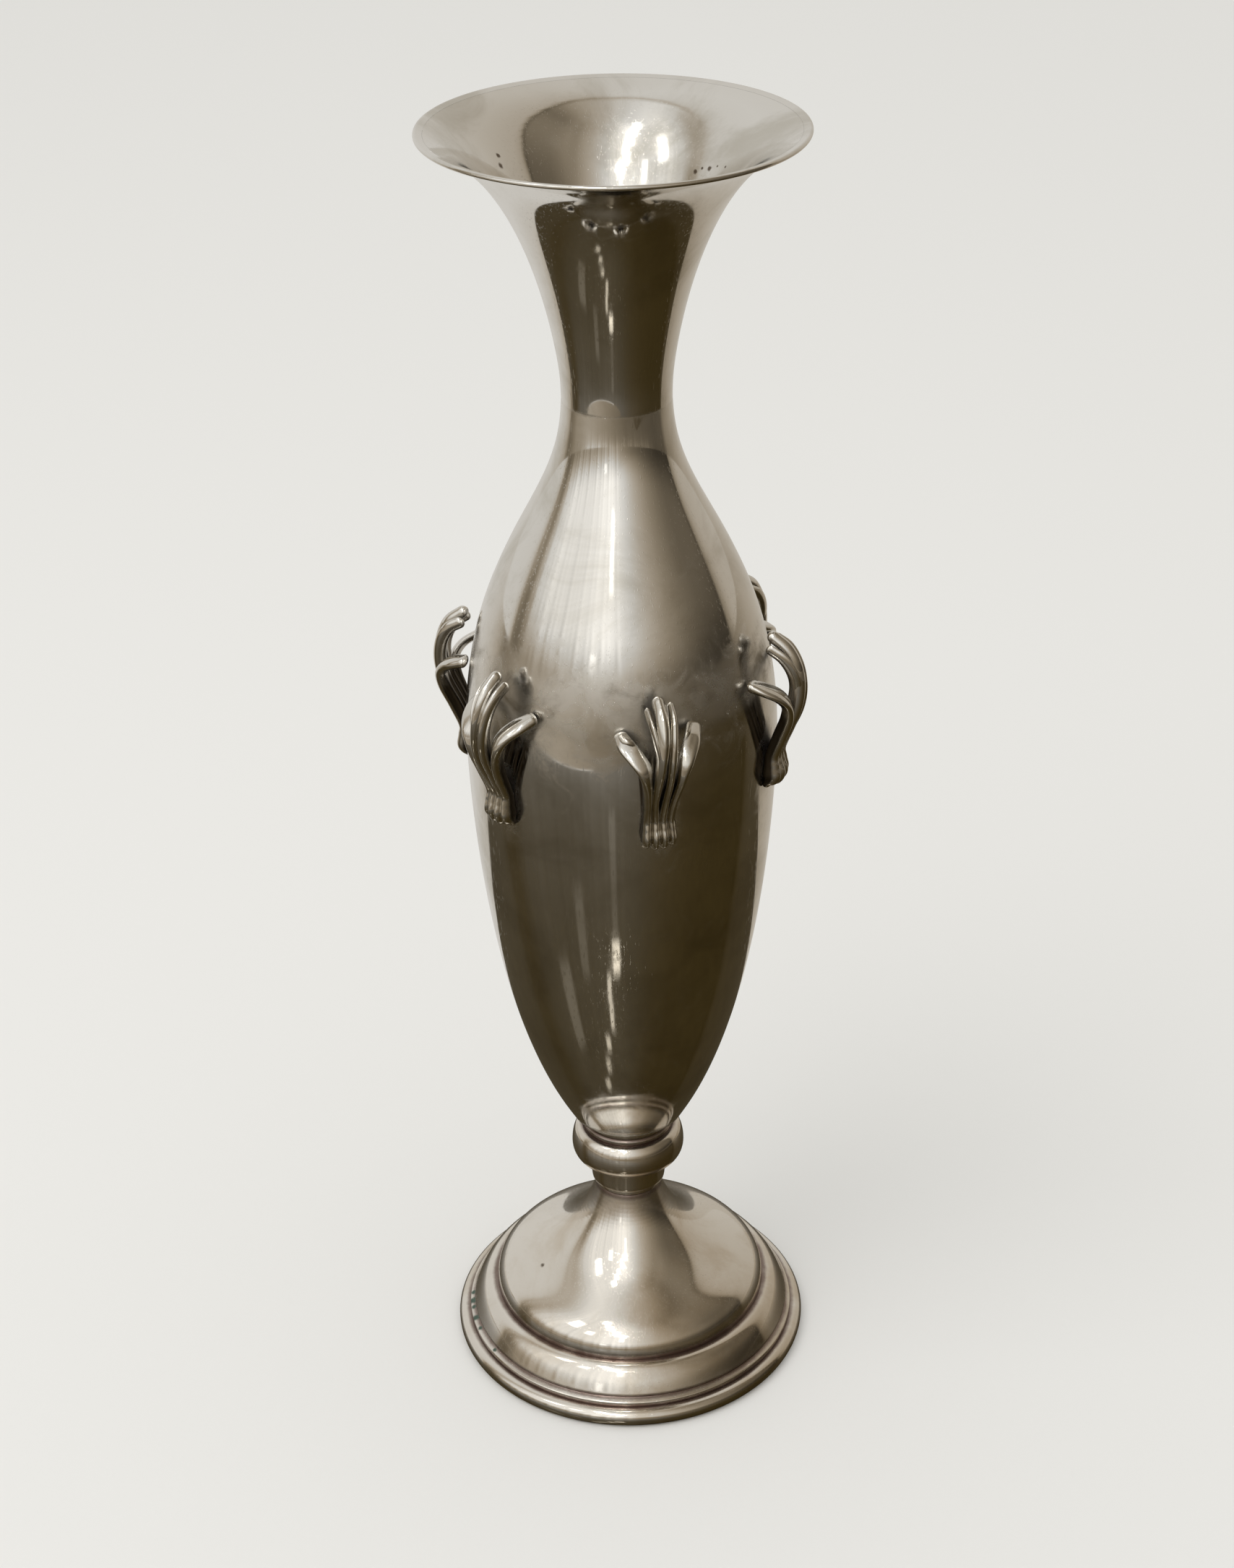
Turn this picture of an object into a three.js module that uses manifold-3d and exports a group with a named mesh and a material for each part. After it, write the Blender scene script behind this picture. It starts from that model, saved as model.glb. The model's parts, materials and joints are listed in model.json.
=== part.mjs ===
// Silver amphora vase: a trumpet mouth on a pear-shaped body, a knopped stem and a stepped round
// foot, with six cast claws soldered round the belly. Millimetres, +Z up, origin under the foot.
import * as THREE from 'three';
import { mergeVertices } from 'three/addons/utils/BufferGeometryUtils.js';
import Module from 'manifold-3d';

const wasm = await Module();
wasm.setup();

// Sheet metal and joints
const SHEET = 1.2; // wall of the spun shells
const JOINT_GAP = 0.3; // solder gap round a curved seat
const ROUNDNESS = 0.58; // fullness of a rounded edge, where 0.55 is a true quarter round
const SIDES = 32; // flats round a turned piece

// Bead ring under the foot
const RIM_RADIUS = 71.1;
const RIM_HEIGHT = 7;
const BEAD_FOOT = 2.9; // rounding of the bead below its middle, in from the rim
const BEAD_CROWN = 3.4; // rounding above its middle

// Rounded step, over a small fillet and a groove
const FILLET_SET = 4.7; // in from the rim
const FILLET_HEIGHT = 2;
const GROOVE_HEIGHT = 2.2;
const GROOVE_DEPTH = 0.6;
const STEP_SET = 1.8; // in from the fillet
const STEP_HEIGHT = 14;
const STEP_ROUND = 8.4; // rounding of the step's top, measured inwards

// Domed foot, which flows up into the stem
const DOME_SET = 1.6; // in from the step's top
const DOME_HEIGHT = 49;
const DOME_SPRING = 21; // pull of the curve straight up from the step
const STEM_SPRING = 45; // pull of the curve down along the stem
const STEM_LEAN = 16.3; // degrees off upright at the stem's top
const STEM_RADIUS = 12.8;
const STEM_PLATE = 2.4; // flat top of the foot, under the ferrule
const DOME_LEDGE = 3.6; // ledge of the step inside the dome

// Ferrule, knop and collar between the foot and the body
const FERRULE_HEIGHT = 14;
const FERRULE_STAND = 1.9; // out from the stem
const FERRULE_TUCK = 0.8; // its foot, in from the stem's top
const FERRULE_ROUND = 4.5; // height of the rounding at its foot
const KNOP_HEIGHT = 14.5;
const KNOP_STAND = 4.5; // out from the collar
const KNOP_TUCK = 4.1; // its lower edge, in from its middle
const COLLAR_RADIUS = 17.8;
const COLLAR_HEIGHT = 8;
const COLLAR_BEAD = 1.6; // height of the bead at the collar's foot
const COLLAR_WAIST = 0.6; // the collar above the bead, in from it

// Body: flank, belly, shoulder and the hollow curve to the neck seam
const BODY_HEIGHT = 299.5;
const BODY_FOOT_RADIUS = 22.3;
const FLANK_OUT = 34.2; // pull of the flank's curve at the foot, outwards
const FLANK_UP = 56.8; // and upwards
const BELLY_RISE = 169.5; // widest place, above the body's foot
const BELLY_RADIUS = 57.1;
const BELLY_UNDER = 2.5; // pull straight down from the widest place
const BELLY_OVER = 40.7; // pull straight up from it
const SHOULDER_RISE = 238.5; // place where the shoulder turns hollow
const SHOULDER_RADIUS = 42.3;
const SHOULDER_LEAN = 23.3; // degrees off upright there
const SHOULDER_UNDER = 5; // pull along the wall, downwards
const SHOULDER_OVER = 23.6; // and upwards
const NECK_RADIUS = 19.2;
const NECK_UNDER = 24.4; // pull straight down from the seam

// Trumpet, from its sleeve inside the seam to the lip wire
const LAP = 6; // length of the sleeve
const SLEEVE_WALL = 0.8;
const NECK_LENGTH = 6; // straight neck above the seam
const FLARE_HEIGHT = 86.2; // up to the lip wire
const FLARE_UP = 4.3; // pull straight up from the neck
const LIP_RADIUS = 65.6;
const LIP_LEAN = 19; // degrees off level of the flare at the lip
const LIP_PULL = 37.7; // pull along the flare from the lip
const LIP_WIRE = 2.4; // thickness of the lip wire

// Clamp that draws the foot, stem and body together
const STUD_RADIUS = 4;
const STUD_HOLE_GAP = 0.4;
const STUD_END = 4; // thread that shows below the nut
const FLANGE_RADIUS = 12;
const FLANGE_THICKNESS = 3;
const WASHER_CLEARANCE = 1.8; // washer to the inside of the stem
const WASHER_THICKNESS = 1.6;
const NUT_WALL = 2.1; // from the nut's hole to its flats
const NUT_THICKNESS = 6.5;
const NUT_SIDES = 6;
const FASTENER_SIDES = 16;

// Claws, set by hand round the belly
const CLAW_ANGLES = [13.4, 69, 131, -167, -105.5, -45.8]; // degrees from the front
const CLAW_LIFTS = [-0.3, 5.8, 0, 0, -1.5, 1.2]; // above the common height
const CLAW_DROP = 16; // toes, below the widest place of the belly

// Shaft of a claw: reeds side by side. A rise is above the toes, a stand is off the body
const REED_PITCH = 2.6;
const REED_MERGE = 0.5; // neighbouring reeds run into each other by this
const REED_DEPTH = 5.2;
const REED_SIDES = 6;
const LONG_ROW = -0.5; // rows of reeds, counted from the shaft's middle
const SHORT_ROW = 0.5;
const SIDE_ROW = 1.5;
const SHAFT_LEAN = 1; // the shaft's middle, to the left of the claw's middle
const TOE_STAND = 2.6;
const TOE_SPLAY = 0.4; // outwards, for each reed from the middle
const HEEL_RISE = 4;
const HEEL_STAND = 3.2;
const HEEL_DEPTH = 6.2;
const WAIST_RISE = 11;
const WAIST_STAND = 2.3;
const SHANK_RISE = 21; // half-way up to the knuckles
const SHANK_STAND = 6.3;

// Middle fingers of a claw, which bow out and curl back; a side is round the body from the middle
const KNUCKLE_RISE = 32;
const KNUCKLE_STAND = 11.2;
const CREST_RISE = 45;
const CREST_STAND = 14;
const CURL_RISE = 55;
const CURL_STAND = 11.8;
const FINGER_RISE = 58.5;
const FINGER_STAND = 6.6; // blunt tip, short of the body
const FINGER_WIDTH = 4.3;
const LONG_SIDE = -1.5;
const SHORT_SIDE = 4.8; // at the tips, from which the fingers lean down to the shaft
const SHORT_DROP = 3.5; // a short finger, below the long one
const SHORT_SET = 1; // and nearer the body
const BRANCH_SIDE = -4.5;
const BRANCH_RISE = 25; // where the branch leaves the long finger
const BRANCH_STAND = 8.2;
const BRANCH_WIDTH = 3.1;

// Side fingers of a claw, which reach round to grip the body
const ELBOW_RISE = 31;
const ELBOW_STAND = 10.2;
const ELBOW_SIDE = 5.4;
const BEND_RISE = 37.5;
const BEND_STAND = 10.6;
const BEND_SIDE = 8.3;
const GRIP_RISE = 42;
const GRIP_STAND = 6.2;
const GRIP_SIDE = 13.3;
const GRIP_REACH = 13.9; // side of the pad that touches the body
const GRIP_SINK = 2; // middle of the pad's end, inside the body's line
const GRIP_WIDTH = 6;

// Heights of the seats between the pieces
const stepSeat = RIM_HEIGHT;
const domeSeat = stepSeat + STEP_HEIGHT;
const ferruleSeat = domeSeat + DOME_HEIGHT;
const knopSeat = ferruleSeat + FERRULE_HEIGHT;
const collarSeat = knopSeat + KNOP_HEIGHT;
const bodySeat = collarSeat + COLLAR_HEIGHT;
const belly = bodySeat + BELLY_RISE;
const shoulder = bodySeat + SHOULDER_RISE;
const seam = bodySeat + BODY_HEIGHT;
const flareStart = seam + NECK_LENGTH;
const lipSeat = flareStart + FLARE_HEIGHT;
const washerSeat = ferruleSeat - STEM_PLATE;
const nutSeat = washerSeat - WASHER_THICKNESS;
const nutFoot = nutSeat - NUT_THICKNESS;

// Radii that follow from their neighbours
const filletRadius = RIM_RADIUS - FILLET_SET;
const stepRadius = filletRadius - STEP_SET;
const stepInside = stepRadius - 2 * SHEET;
const stepTop = stepRadius - STEP_ROUND;
const domeRadius = stepTop - DOME_SET;
const ferruleRadius = STEM_RADIUS + FERRULE_STAND;
const knopRadius = COLLAR_RADIUS + KNOP_STAND;
const studHole = STUD_RADIUS + STUD_HOLE_GAP;
const flareEnd = LIP_RADIUS - LIP_WIRE - JOINT_GAP;

const POLISHED = 0xcfc9bc;
const WARM = 0xc9bda8;
const STEEL = 0x8d9092;

function metal(color, roughness) {
  return new THREE.MeshStandardMaterial({ color, roughness, metalness: 1 });
}

const vase = new THREE.Group();

function add(name, geometry, material, angle = 0) {
  const mesh = new THREE.Mesh(geometry, material);
  mesh.name = name;
  mesh.rotation.z = angle;
  vase.add(mesh);
}

// A turned piece from an outline of [radius, height] that runs up its outside and down its inside.
function turned(outline, sides = SIDES) {
  const points = outline.map(([radius, height]) => new THREE.Vector2(radius, height));
  return new THREE.LatheGeometry(points, sides).rotateX(Math.PI / 2);
}

// A turned piece with a hole through it: its outline closes on itself.
function ring(outline, sides = SIDES) {
  return turned([...outline, outline[0]], sides);
}

// The curve between two places that leaves and arrives along the given pulls.
function bow(from, leave, arrive, to, steps) {
  const ends = [from, leave, arrive, to].map(([radius, height]) => new THREE.Vector2(radius, height));
  return new THREE.CubicBezierCurve(...ends).getPoints(steps).map((point) => [point.x, point.y]);
}

// A rounded edge that leaves level and arrives upright.
function roundUp(from, to, steps) {
  const leave = [THREE.MathUtils.lerp(from[0], to[0], ROUNDNESS), from[1]];
  const arrive = [to[0], THREE.MathUtils.lerp(to[1], from[1], ROUNDNESS)];
  return bow(from, leave, arrive, to, steps);
}

// A rounded edge that leaves upright and arrives level.
function roundIn(from, to, steps) {
  const leave = [from[0], THREE.MathUtils.lerp(from[1], to[1], ROUNDNESS)];
  const arrive = [THREE.MathUtils.lerp(to[0], from[0], ROUNDNESS), to[1]];
  return bow(from, leave, arrive, to, steps);
}

// The same outline moved by a distance to the left of its run, which is towards the axis going up.
function inset(outline, distance) {
  return outline.map((point, i) => {
    const before = outline[Math.max(i - 1, 0)];
    const after = outline[Math.min(i + 1, outline.length - 1)];
    const run = new THREE.Vector2(after[0] - before[0], after[1] - before[1]).setLength(distance);
    return [point[0] - run.y, point[1] + run.x];
  });
}

// Foot: bead ring, rounded step with its fillet, and the dome.
function baseRim() {
  const middle = [RIM_RADIUS, RIM_HEIGHT / 2];
  return ring([
    [stepInside, 0],
    ...roundUp([RIM_RADIUS - BEAD_FOOT, 0], middle, 3),
    ...roundIn(middle, [RIM_RADIUS - BEAD_CROWN, stepSeat], 4).slice(1),
    [stepInside, stepSeat],
  ]);
}

function baseStep() {
  const filletTop = stepSeat + FILLET_HEIGHT;
  const groove = filletTop + GROOVE_HEIGHT / 2;
  const rounding = roundIn([stepRadius, filletTop + GROOVE_HEIGHT], [stepTop, domeSeat], 5);
  const inner = inset(rounding, SHEET);
  inner[inner.length - 1] = [stepTop, domeSeat - SHEET];
  return ring([
    [stepInside, stepSeat],
    [filletRadius, stepSeat],
    [filletRadius, filletTop],
    [stepRadius - GROOVE_DEPTH, groove],
    ...rounding,
    [domeRadius - DOME_LEDGE, domeSeat],
    [domeRadius - DOME_LEDGE, domeSeat - SHEET],
    ...inner.reverse(),
    [stepInside, groove],
  ]);
}

function footDome() {
  const lean = THREE.MathUtils.degToRad(STEM_LEAN);
  const outer = bow(
    [domeRadius, domeSeat],
    [domeRadius, domeSeat + DOME_SPRING],
    [STEM_RADIUS + STEM_SPRING * Math.sin(lean), ferruleSeat - STEM_SPRING * Math.cos(lean)],
    [STEM_RADIUS, ferruleSeat],
    9,
  );
  const inner = inset(outer, SHEET);
  inner[0] = [domeRadius - SHEET, domeSeat];
  inner[inner.length - 1] = [STEM_RADIUS - SHEET, washerSeat];
  return ring([...outer, [studHole, ferruleSeat], [studHole, washerSeat], ...inner.reverse()]);
}

// Stem: ferrule rounded in at its foot, round knop, and the collar that carries the body.
function stemFerrule() {
  return ring([
    [studHole, ferruleSeat],
    ...roundUp([STEM_RADIUS - FERRULE_TUCK, ferruleSeat], [ferruleRadius, ferruleSeat + FERRULE_ROUND], 4),
    [ferruleRadius, knopSeat],
    [studHole, knopSeat],
  ]);
}

function knopRing() {
  const middle = [knopRadius, knopSeat + KNOP_HEIGHT / 2];
  return ring([
    [studHole, knopSeat],
    ...roundUp([knopRadius - KNOP_TUCK, knopSeat], middle, 5),
    ...roundIn(middle, [COLLAR_RADIUS, collarSeat], 5).slice(1),
    [studHole, collarSeat],
  ]);
}

function bodyCollar() {
  const inside = FLANGE_RADIUS + JOINT_GAP;
  const waist = COLLAR_RADIUS - COLLAR_WAIST;
  return ring([
    [inside, collarSeat],
    [COLLAR_RADIUS, collarSeat],
    [COLLAR_RADIUS, collarSeat + COLLAR_BEAD],
    [waist, collarSeat + COLLAR_BEAD + COLLAR_WAIST],
    [waist, bodySeat],
    [inside, bodySeat],
  ]);
}

// Outside of the body, from its foot to the neck seam.
function bodyOutside() {
  const lean = THREE.MathUtils.degToRad(SHOULDER_LEAN);
  const alongShoulder = (pull) => [
    SHOULDER_RADIUS - pull * Math.sin(lean),
    shoulder + pull * Math.cos(lean),
  ];
  const flank = bow(
    [BODY_FOOT_RADIUS, bodySeat],
    [BODY_FOOT_RADIUS + FLANK_OUT, bodySeat + FLANK_UP],
    [BELLY_RADIUS, belly - BELLY_UNDER],
    [BELLY_RADIUS, belly],
    7,
  );
  const swell = bow(
    [BELLY_RADIUS, belly],
    [BELLY_RADIUS, belly + BELLY_OVER],
    alongShoulder(-SHOULDER_UNDER),
    alongShoulder(0),
    4,
  );
  const hollow = bow(
    alongShoulder(0),
    alongShoulder(SHOULDER_OVER),
    [NECK_RADIUS, seam - NECK_UNDER],
    [NECK_RADIUS, seam],
    6,
  );
  return [...flank, ...swell.slice(1), ...hollow.slice(1)];
}

const bodyOutline = bodyOutside();

function bodyShell() {
  const inner = inset(bodyOutline, SHEET);
  inner[0] = [BODY_FOOT_RADIUS - SHEET, bodySeat + SHEET];
  inner[inner.length - 1] = [NECK_RADIUS - SHEET, seam];
  return turned([[0, bodySeat], ...bodyOutline, ...inner.reverse(), [0, bodySeat + SHEET]]);
}

// Radius of the body's outside at a height, read between the points of its outline.
function bodyRadius(height) {
  const above = bodyOutline.findIndex((point) => point[1] >= height);
  const [lowRadius, low] = bodyOutline[above - 1];
  const [highRadius, high] = bodyOutline[above];
  return THREE.MathUtils.mapLinear(height, low, high, lowRadius, highRadius);
}

// Trumpet: a sleeve inside the seam, a straight neck and the flare.
function trumpetNeck() {
  const sleeve = NECK_RADIUS - SHEET - JOINT_GAP;
  const bore = sleeve - SLEEVE_WALL;
  const lean = THREE.MathUtils.degToRad(LIP_LEAN);
  const flare = bow(
    [NECK_RADIUS, flareStart],
    [NECK_RADIUS, flareStart + FLARE_UP],
    [flareEnd - LIP_PULL * Math.cos(lean), lipSeat - LIP_PULL * Math.sin(lean)],
    [flareEnd, lipSeat],
    8,
  );
  const inner = inset(flare, SHEET).slice(1);
  return ring([
    [sleeve, seam - LAP],
    [sleeve, seam],
    [NECK_RADIUS, seam],
    ...flare,
    ...inner.reverse(),
    [bore, flareStart],
    [bore, seam - LAP],
  ]);
}

// Lip wire: flat against the flare's edge and half-round outside.
function lipWire() {
  const half = LIP_WIRE / 2;
  const middle = lipSeat + SHEET / 2;
  const flat = LIP_RADIUS - LIP_WIRE;
  const nose = new THREE.EllipseCurve(LIP_RADIUS - half, middle, half, half, -Math.PI / 2, Math.PI / 2);
  const edge = nose.getPoints(3).map((point) => [point.x, point.y]);
  return ring([[flat, middle - half], ...edge, [flat, middle + half]]);
}

// Clamp: a flanged stud under the body, with a washer and a nut against the top of the foot.
function centreStud() {
  const flangeFoot = bodySeat - FLANGE_THICKNESS;
  const end = nutFoot - STUD_END;
  const outline = [
    [0, end],
    [STUD_RADIUS, end],
    [STUD_RADIUS, flangeFoot],
    [FLANGE_RADIUS, flangeFoot],
    [FLANGE_RADIUS, bodySeat],
    [0, bodySeat],
  ];
  return turned(outline, FASTENER_SIDES);
}

function clampWasher() {
  const radius = STEM_RADIUS - SHEET - WASHER_CLEARANCE;
  const outline = [
    [studHole, nutSeat],
    [radius, nutSeat],
    [radius, washerSeat],
    [studHole, washerSeat],
  ];
  return ring(outline, FASTENER_SIDES);
}

function clampNut() {
  const corner = (studHole + NUT_WALL) / Math.cos(Math.PI / NUT_SIDES);
  const corners = new THREE.EllipseCurve(0, 0, corner, corner).getPoints(NUT_SIDES);
  const outline = new THREE.Shape(corners.slice(1));
  outline.holes.push(new THREE.Path().absarc(0, 0, studHole, 0, Math.PI * 2, true));
  const settings = { depth: NUT_THICKNESS, bevelEnabled: false, curveSegments: FASTENER_SIDES / 2 };
  return new THREE.ExtrudeGeometry(outline, settings).translate(0, 0, nutFoot);
}

// Solids for joining and cutting
function solidOf(geometry) {
  const bare = geometry.index ? geometry.toNonIndexed() : geometry.clone();
  bare.deleteAttribute('normal');
  bare.deleteAttribute('uv');
  const merged = mergeVertices(bare, 1e-4);
  const corners = [];
  const index = merged.index.array;
  for (let i = 0; i < index.length; i += 3) {
    const [a, b, c] = [index[i], index[i + 1], index[i + 2]];
    if (a !== b && b !== c && c !== a) corners.push(a, b, c);
  }
  const triVerts = new Uint32Array(corners);
  const vertProperties = new Float32Array(merged.attributes.position.array);
  return new wasm.Manifold(new wasm.Mesh({ numProp: 3, vertProperties, triVerts }));
}

function geometryOf(solid) {
  const mesh = solid.getMesh();
  const geometry = new THREE.BufferGeometry();
  geometry.setAttribute('position', new THREE.BufferAttribute(new Float32Array(mesh.vertProperties), 3));
  geometry.setIndex(new THREE.BufferAttribute(new Uint32Array(mesh.triVerts), 1));
  return geometry;
}

// A reed of a claw: a section with an edge outwards, set at each station along its path over the
// body. A station is [rise, stand, side, width, depth].
function reed(toes, stations) {
  const centres = stations.map(([rise, stand, side]) => {
    const out = bodyRadius(toes + rise) + stand;
    const around = side / out - Math.PI / 2;
    return new THREE.Vector3(out * Math.cos(around), out * Math.sin(around), toes + rise);
  });
  const path = new THREE.CatmullRomCurve3(centres);
  const position = [];
  let outward = new THREE.Vector3(0, -1, 0);
  stations.forEach(([, , , width, depth], i) => {
    const run = path.getTangent(i / (stations.length - 1));
    outward = outward.clone().addScaledVector(run, -outward.dot(run)).normalize();
    const across = new THREE.Vector3().crossVectors(run, outward);
    for (let k = 0; k < REED_SIDES; k += 1) {
      const angle = (k / REED_SIDES) * Math.PI * 2;
      const corner = centres[i].clone();
      corner.addScaledVector(outward, (Math.cos(angle) * depth) / 2);
      corner.addScaledVector(across, (Math.sin(angle) * width) / 2);
      position.push(corner.x, corner.y, corner.z);
    }
  });
  const last = (stations.length - 1) * REED_SIDES;
  const index = [];
  for (let k = 0; k < REED_SIDES; k += 1) {
    const next = (k + 1) % REED_SIDES;
    for (let low = 0; low < last; low += REED_SIDES) {
      const high = low + REED_SIDES;
      index.push(low + k, low + next, high + next);
      index.push(low + k, high + next, high + k);
    }
    if (k > 0 && next > 0) {
      index.push(0, next, k);
      index.push(last, last + k, last + next);
    }
  }
  const geometry = new THREE.BufferGeometry();
  geometry.setAttribute('position', new THREE.BufferAttribute(new Float32Array(position), 3));
  geometry.setIndex(index);
  return solidOf(geometry);
}

// Stations of a reed in the shaft, from its toe to its waist.
const reedWidth = (REED_PITCH + REED_MERGE) / Math.cos(Math.PI / REED_SIDES);
const rowSide = (row) => row * REED_PITCH - SHAFT_LEAN;

function shaft(row) {
  const toe = rowSide(row) + row * TOE_SPLAY;
  const width = reedWidth + TOE_SPLAY;
  return [
    [0, TOE_STAND, toe, width, REED_DEPTH],
    [HEEL_RISE, HEEL_STAND, toe, width, HEEL_DEPTH],
    [WAIST_RISE, WAIST_STAND, rowSide(row), reedWidth, REED_DEPTH],
  ];
}

// A middle finger bows out over the body and curls back to a blunt tip. It leans steadily from its
// reed's place at the waist to its side at the tip.
function middleFinger(toes, row, tipSide, drop, set) {
  const tip = FINGER_RISE - drop;
  const leaning = (rise) => THREE.MathUtils.mapLinear(rise, WAIST_RISE, tip, rowSide(row), tipSide);
  const upper = [
    [SHANK_RISE, SHANK_STAND, reedWidth],
    [KNUCKLE_RISE, KNUCKLE_STAND, FINGER_WIDTH],
    [CREST_RISE - drop / 2, CREST_STAND - set, FINGER_WIDTH],
    [CURL_RISE - drop, CURL_STAND - set, FINGER_WIDTH],
    [tip, FINGER_STAND, FINGER_WIDTH],
  ].map(([rise, stand, width]) => [rise, stand, leaning(rise), width, REED_DEPTH]);
  return reed(toes, [...shaft(row), ...upper]);
}

// A thin finger that branches from the long one below its knuckle.
function branchFinger(toes) {
  const rootSide = (rowSide(LONG_ROW) + BRANCH_SIDE) / 2;
  const drop = SHORT_DROP + SHORT_SET;
  return reed(toes, [
    [BRANCH_RISE, BRANCH_STAND, rootSide, BRANCH_WIDTH, REED_DEPTH],
    [KNUCKLE_RISE, KNUCKLE_STAND, BRANCH_SIDE, BRANCH_WIDTH, REED_DEPTH],
    [CREST_RISE, CREST_STAND - SHORT_SET, BRANCH_SIDE, BRANCH_WIDTH, REED_DEPTH],
    [CURL_RISE - drop, CURL_STAND - SHORT_SET, BRANCH_SIDE, BRANCH_WIDTH, REED_DEPTH],
    [FINGER_RISE - drop, FINGER_STAND, BRANCH_SIDE, BRANCH_WIDTH, REED_DEPTH],
  ]);
}

// A side finger turns off at its elbow and ends in a broad pad on the body; hand is -1 or 1.
function sideFinger(toes, hand) {
  const row = hand * SIDE_ROW;
  const shankSide = (rowSide(row) + hand * ELBOW_SIDE) / 2;
  return reed(toes, [
    ...shaft(row),
    [SHANK_RISE, SHANK_STAND, shankSide, reedWidth, REED_DEPTH],
    [ELBOW_RISE, ELBOW_STAND, hand * ELBOW_SIDE, reedWidth, REED_DEPTH],
    [BEND_RISE, BEND_STAND, hand * BEND_SIDE, GRIP_WIDTH, REED_DEPTH],
    [GRIP_RISE, GRIP_STAND, hand * GRIP_SIDE, GRIP_WIDTH, REED_DEPTH],
    [GRIP_RISE, -GRIP_SINK, hand * GRIP_REACH, GRIP_WIDTH, REED_DEPTH],
  ]);
}

// A whole claw, facing the front before it is turned to its place, and cut to seat on the body.
function claw(angle, lift) {
  const toes = belly - CLAW_DROP + lift;
  const casting = middleFinger(toes, LONG_ROW, LONG_SIDE, 0, 0)
    .add(middleFinger(toes, SHORT_ROW, SHORT_SIDE, SHORT_DROP, SHORT_SET))
    .add(branchFinger(toes))
    .add(sideFinger(toes, -1))
    .add(sideFinger(toes, 1));
  const outer = inset(bodyOutline, -JOINT_GAP);
  const seat = turned([[0, outer[0][1]], ...outer, [0, outer[outer.length - 1][1]]]);
  seat.rotateZ(-angle);
  return geometryOf(casting.subtract(solidOf(seat)));
}

add('base_rim', baseRim(), metal(WARM, 0.25));
add('base_step', baseStep(), metal(WARM, 0.22));
add('foot_dome', footDome(), metal(WARM, 0.18));
add('stem_ferrule', stemFerrule(), metal(WARM, 0.2));
add('knop_ring', knopRing(), metal(WARM, 0.18));
add('body_collar', bodyCollar(), metal(WARM, 0.25));
add('body_shell', bodyShell(), metal(POLISHED, 0.15));
add('trumpet_neck', trumpetNeck(), metal(POLISHED, 0.15));
add('lip_wire', lipWire(), metal(POLISHED, 0.2));
add('centre_stud', centreStud(), metal(STEEL, 0.4));
add('clamp_washer', clampWasher(), metal(STEEL, 0.4));
add('clamp_nut', clampNut(), metal(STEEL, 0.4));

CLAW_ANGLES.forEach((degrees, k) => {
  const angle = THREE.MathUtils.degToRad(degrees);
  add(`claw_${k + 1}`, claw(angle, CLAW_LIFTS[k]), metal(POLISHED, 0.3), angle);
});

export default vase;
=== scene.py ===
# %% [markdown]
# # A silver amphora vase
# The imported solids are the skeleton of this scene. They already say where every piece is and how
# large it is, in metres, so each smooth piece below takes its place from the solid it stands for.

# %% Load the frame
import json
import math

import bpy
import numpy as np
from mathutils import Matrix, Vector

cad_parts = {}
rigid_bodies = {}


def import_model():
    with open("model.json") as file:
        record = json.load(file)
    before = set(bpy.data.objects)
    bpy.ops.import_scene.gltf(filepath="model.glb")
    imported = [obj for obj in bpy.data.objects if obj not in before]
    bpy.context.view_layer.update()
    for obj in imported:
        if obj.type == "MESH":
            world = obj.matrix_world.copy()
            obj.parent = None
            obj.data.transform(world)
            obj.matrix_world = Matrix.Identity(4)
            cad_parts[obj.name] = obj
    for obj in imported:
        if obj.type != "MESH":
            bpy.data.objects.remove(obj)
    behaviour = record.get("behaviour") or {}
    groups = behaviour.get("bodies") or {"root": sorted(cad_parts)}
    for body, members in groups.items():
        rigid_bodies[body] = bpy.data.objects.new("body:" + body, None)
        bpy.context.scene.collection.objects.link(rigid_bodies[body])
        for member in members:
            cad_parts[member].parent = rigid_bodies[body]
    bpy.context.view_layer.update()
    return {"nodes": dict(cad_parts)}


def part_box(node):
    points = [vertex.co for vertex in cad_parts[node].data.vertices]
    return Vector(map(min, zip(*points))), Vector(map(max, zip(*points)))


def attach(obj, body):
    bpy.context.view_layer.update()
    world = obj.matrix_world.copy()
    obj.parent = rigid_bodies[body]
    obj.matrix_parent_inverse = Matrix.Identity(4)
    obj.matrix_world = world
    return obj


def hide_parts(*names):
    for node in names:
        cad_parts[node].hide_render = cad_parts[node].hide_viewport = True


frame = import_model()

scene = bpy.context.scene
scene.view_settings.view_transform = "Standard"
MM = 0.001  # the outlines below are drawn in millimetres


def corners(solid):
    """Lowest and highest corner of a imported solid, in millimetres."""
    low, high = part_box(solid)
    return np.array(low) / MM, np.array(high) / MM


# %% [markdown]
# ## Camera
# The photograph looks down at the vase. A camera can be aimed by eye, or its place can be worked
# out from the ellipses of the mouth and the foot, as was done here. It leans a little to one side,
# as a hand-held one does. The lens is given by how long it is against the picture.

# %% Camera at the photograph's angle
EYE = (-0.0021, -0.867, 0.7475)
LOOK_DOWN = math.radians(29.7)
LEAN = math.radians(-0.93)
PICTURE = (1708, 2170)
LENS_PIXELS = 3716  # the lens's length, in pixels of the picture
SENSOR = 36
SIGHT = 100  # how far the camera sees, in metres

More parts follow.
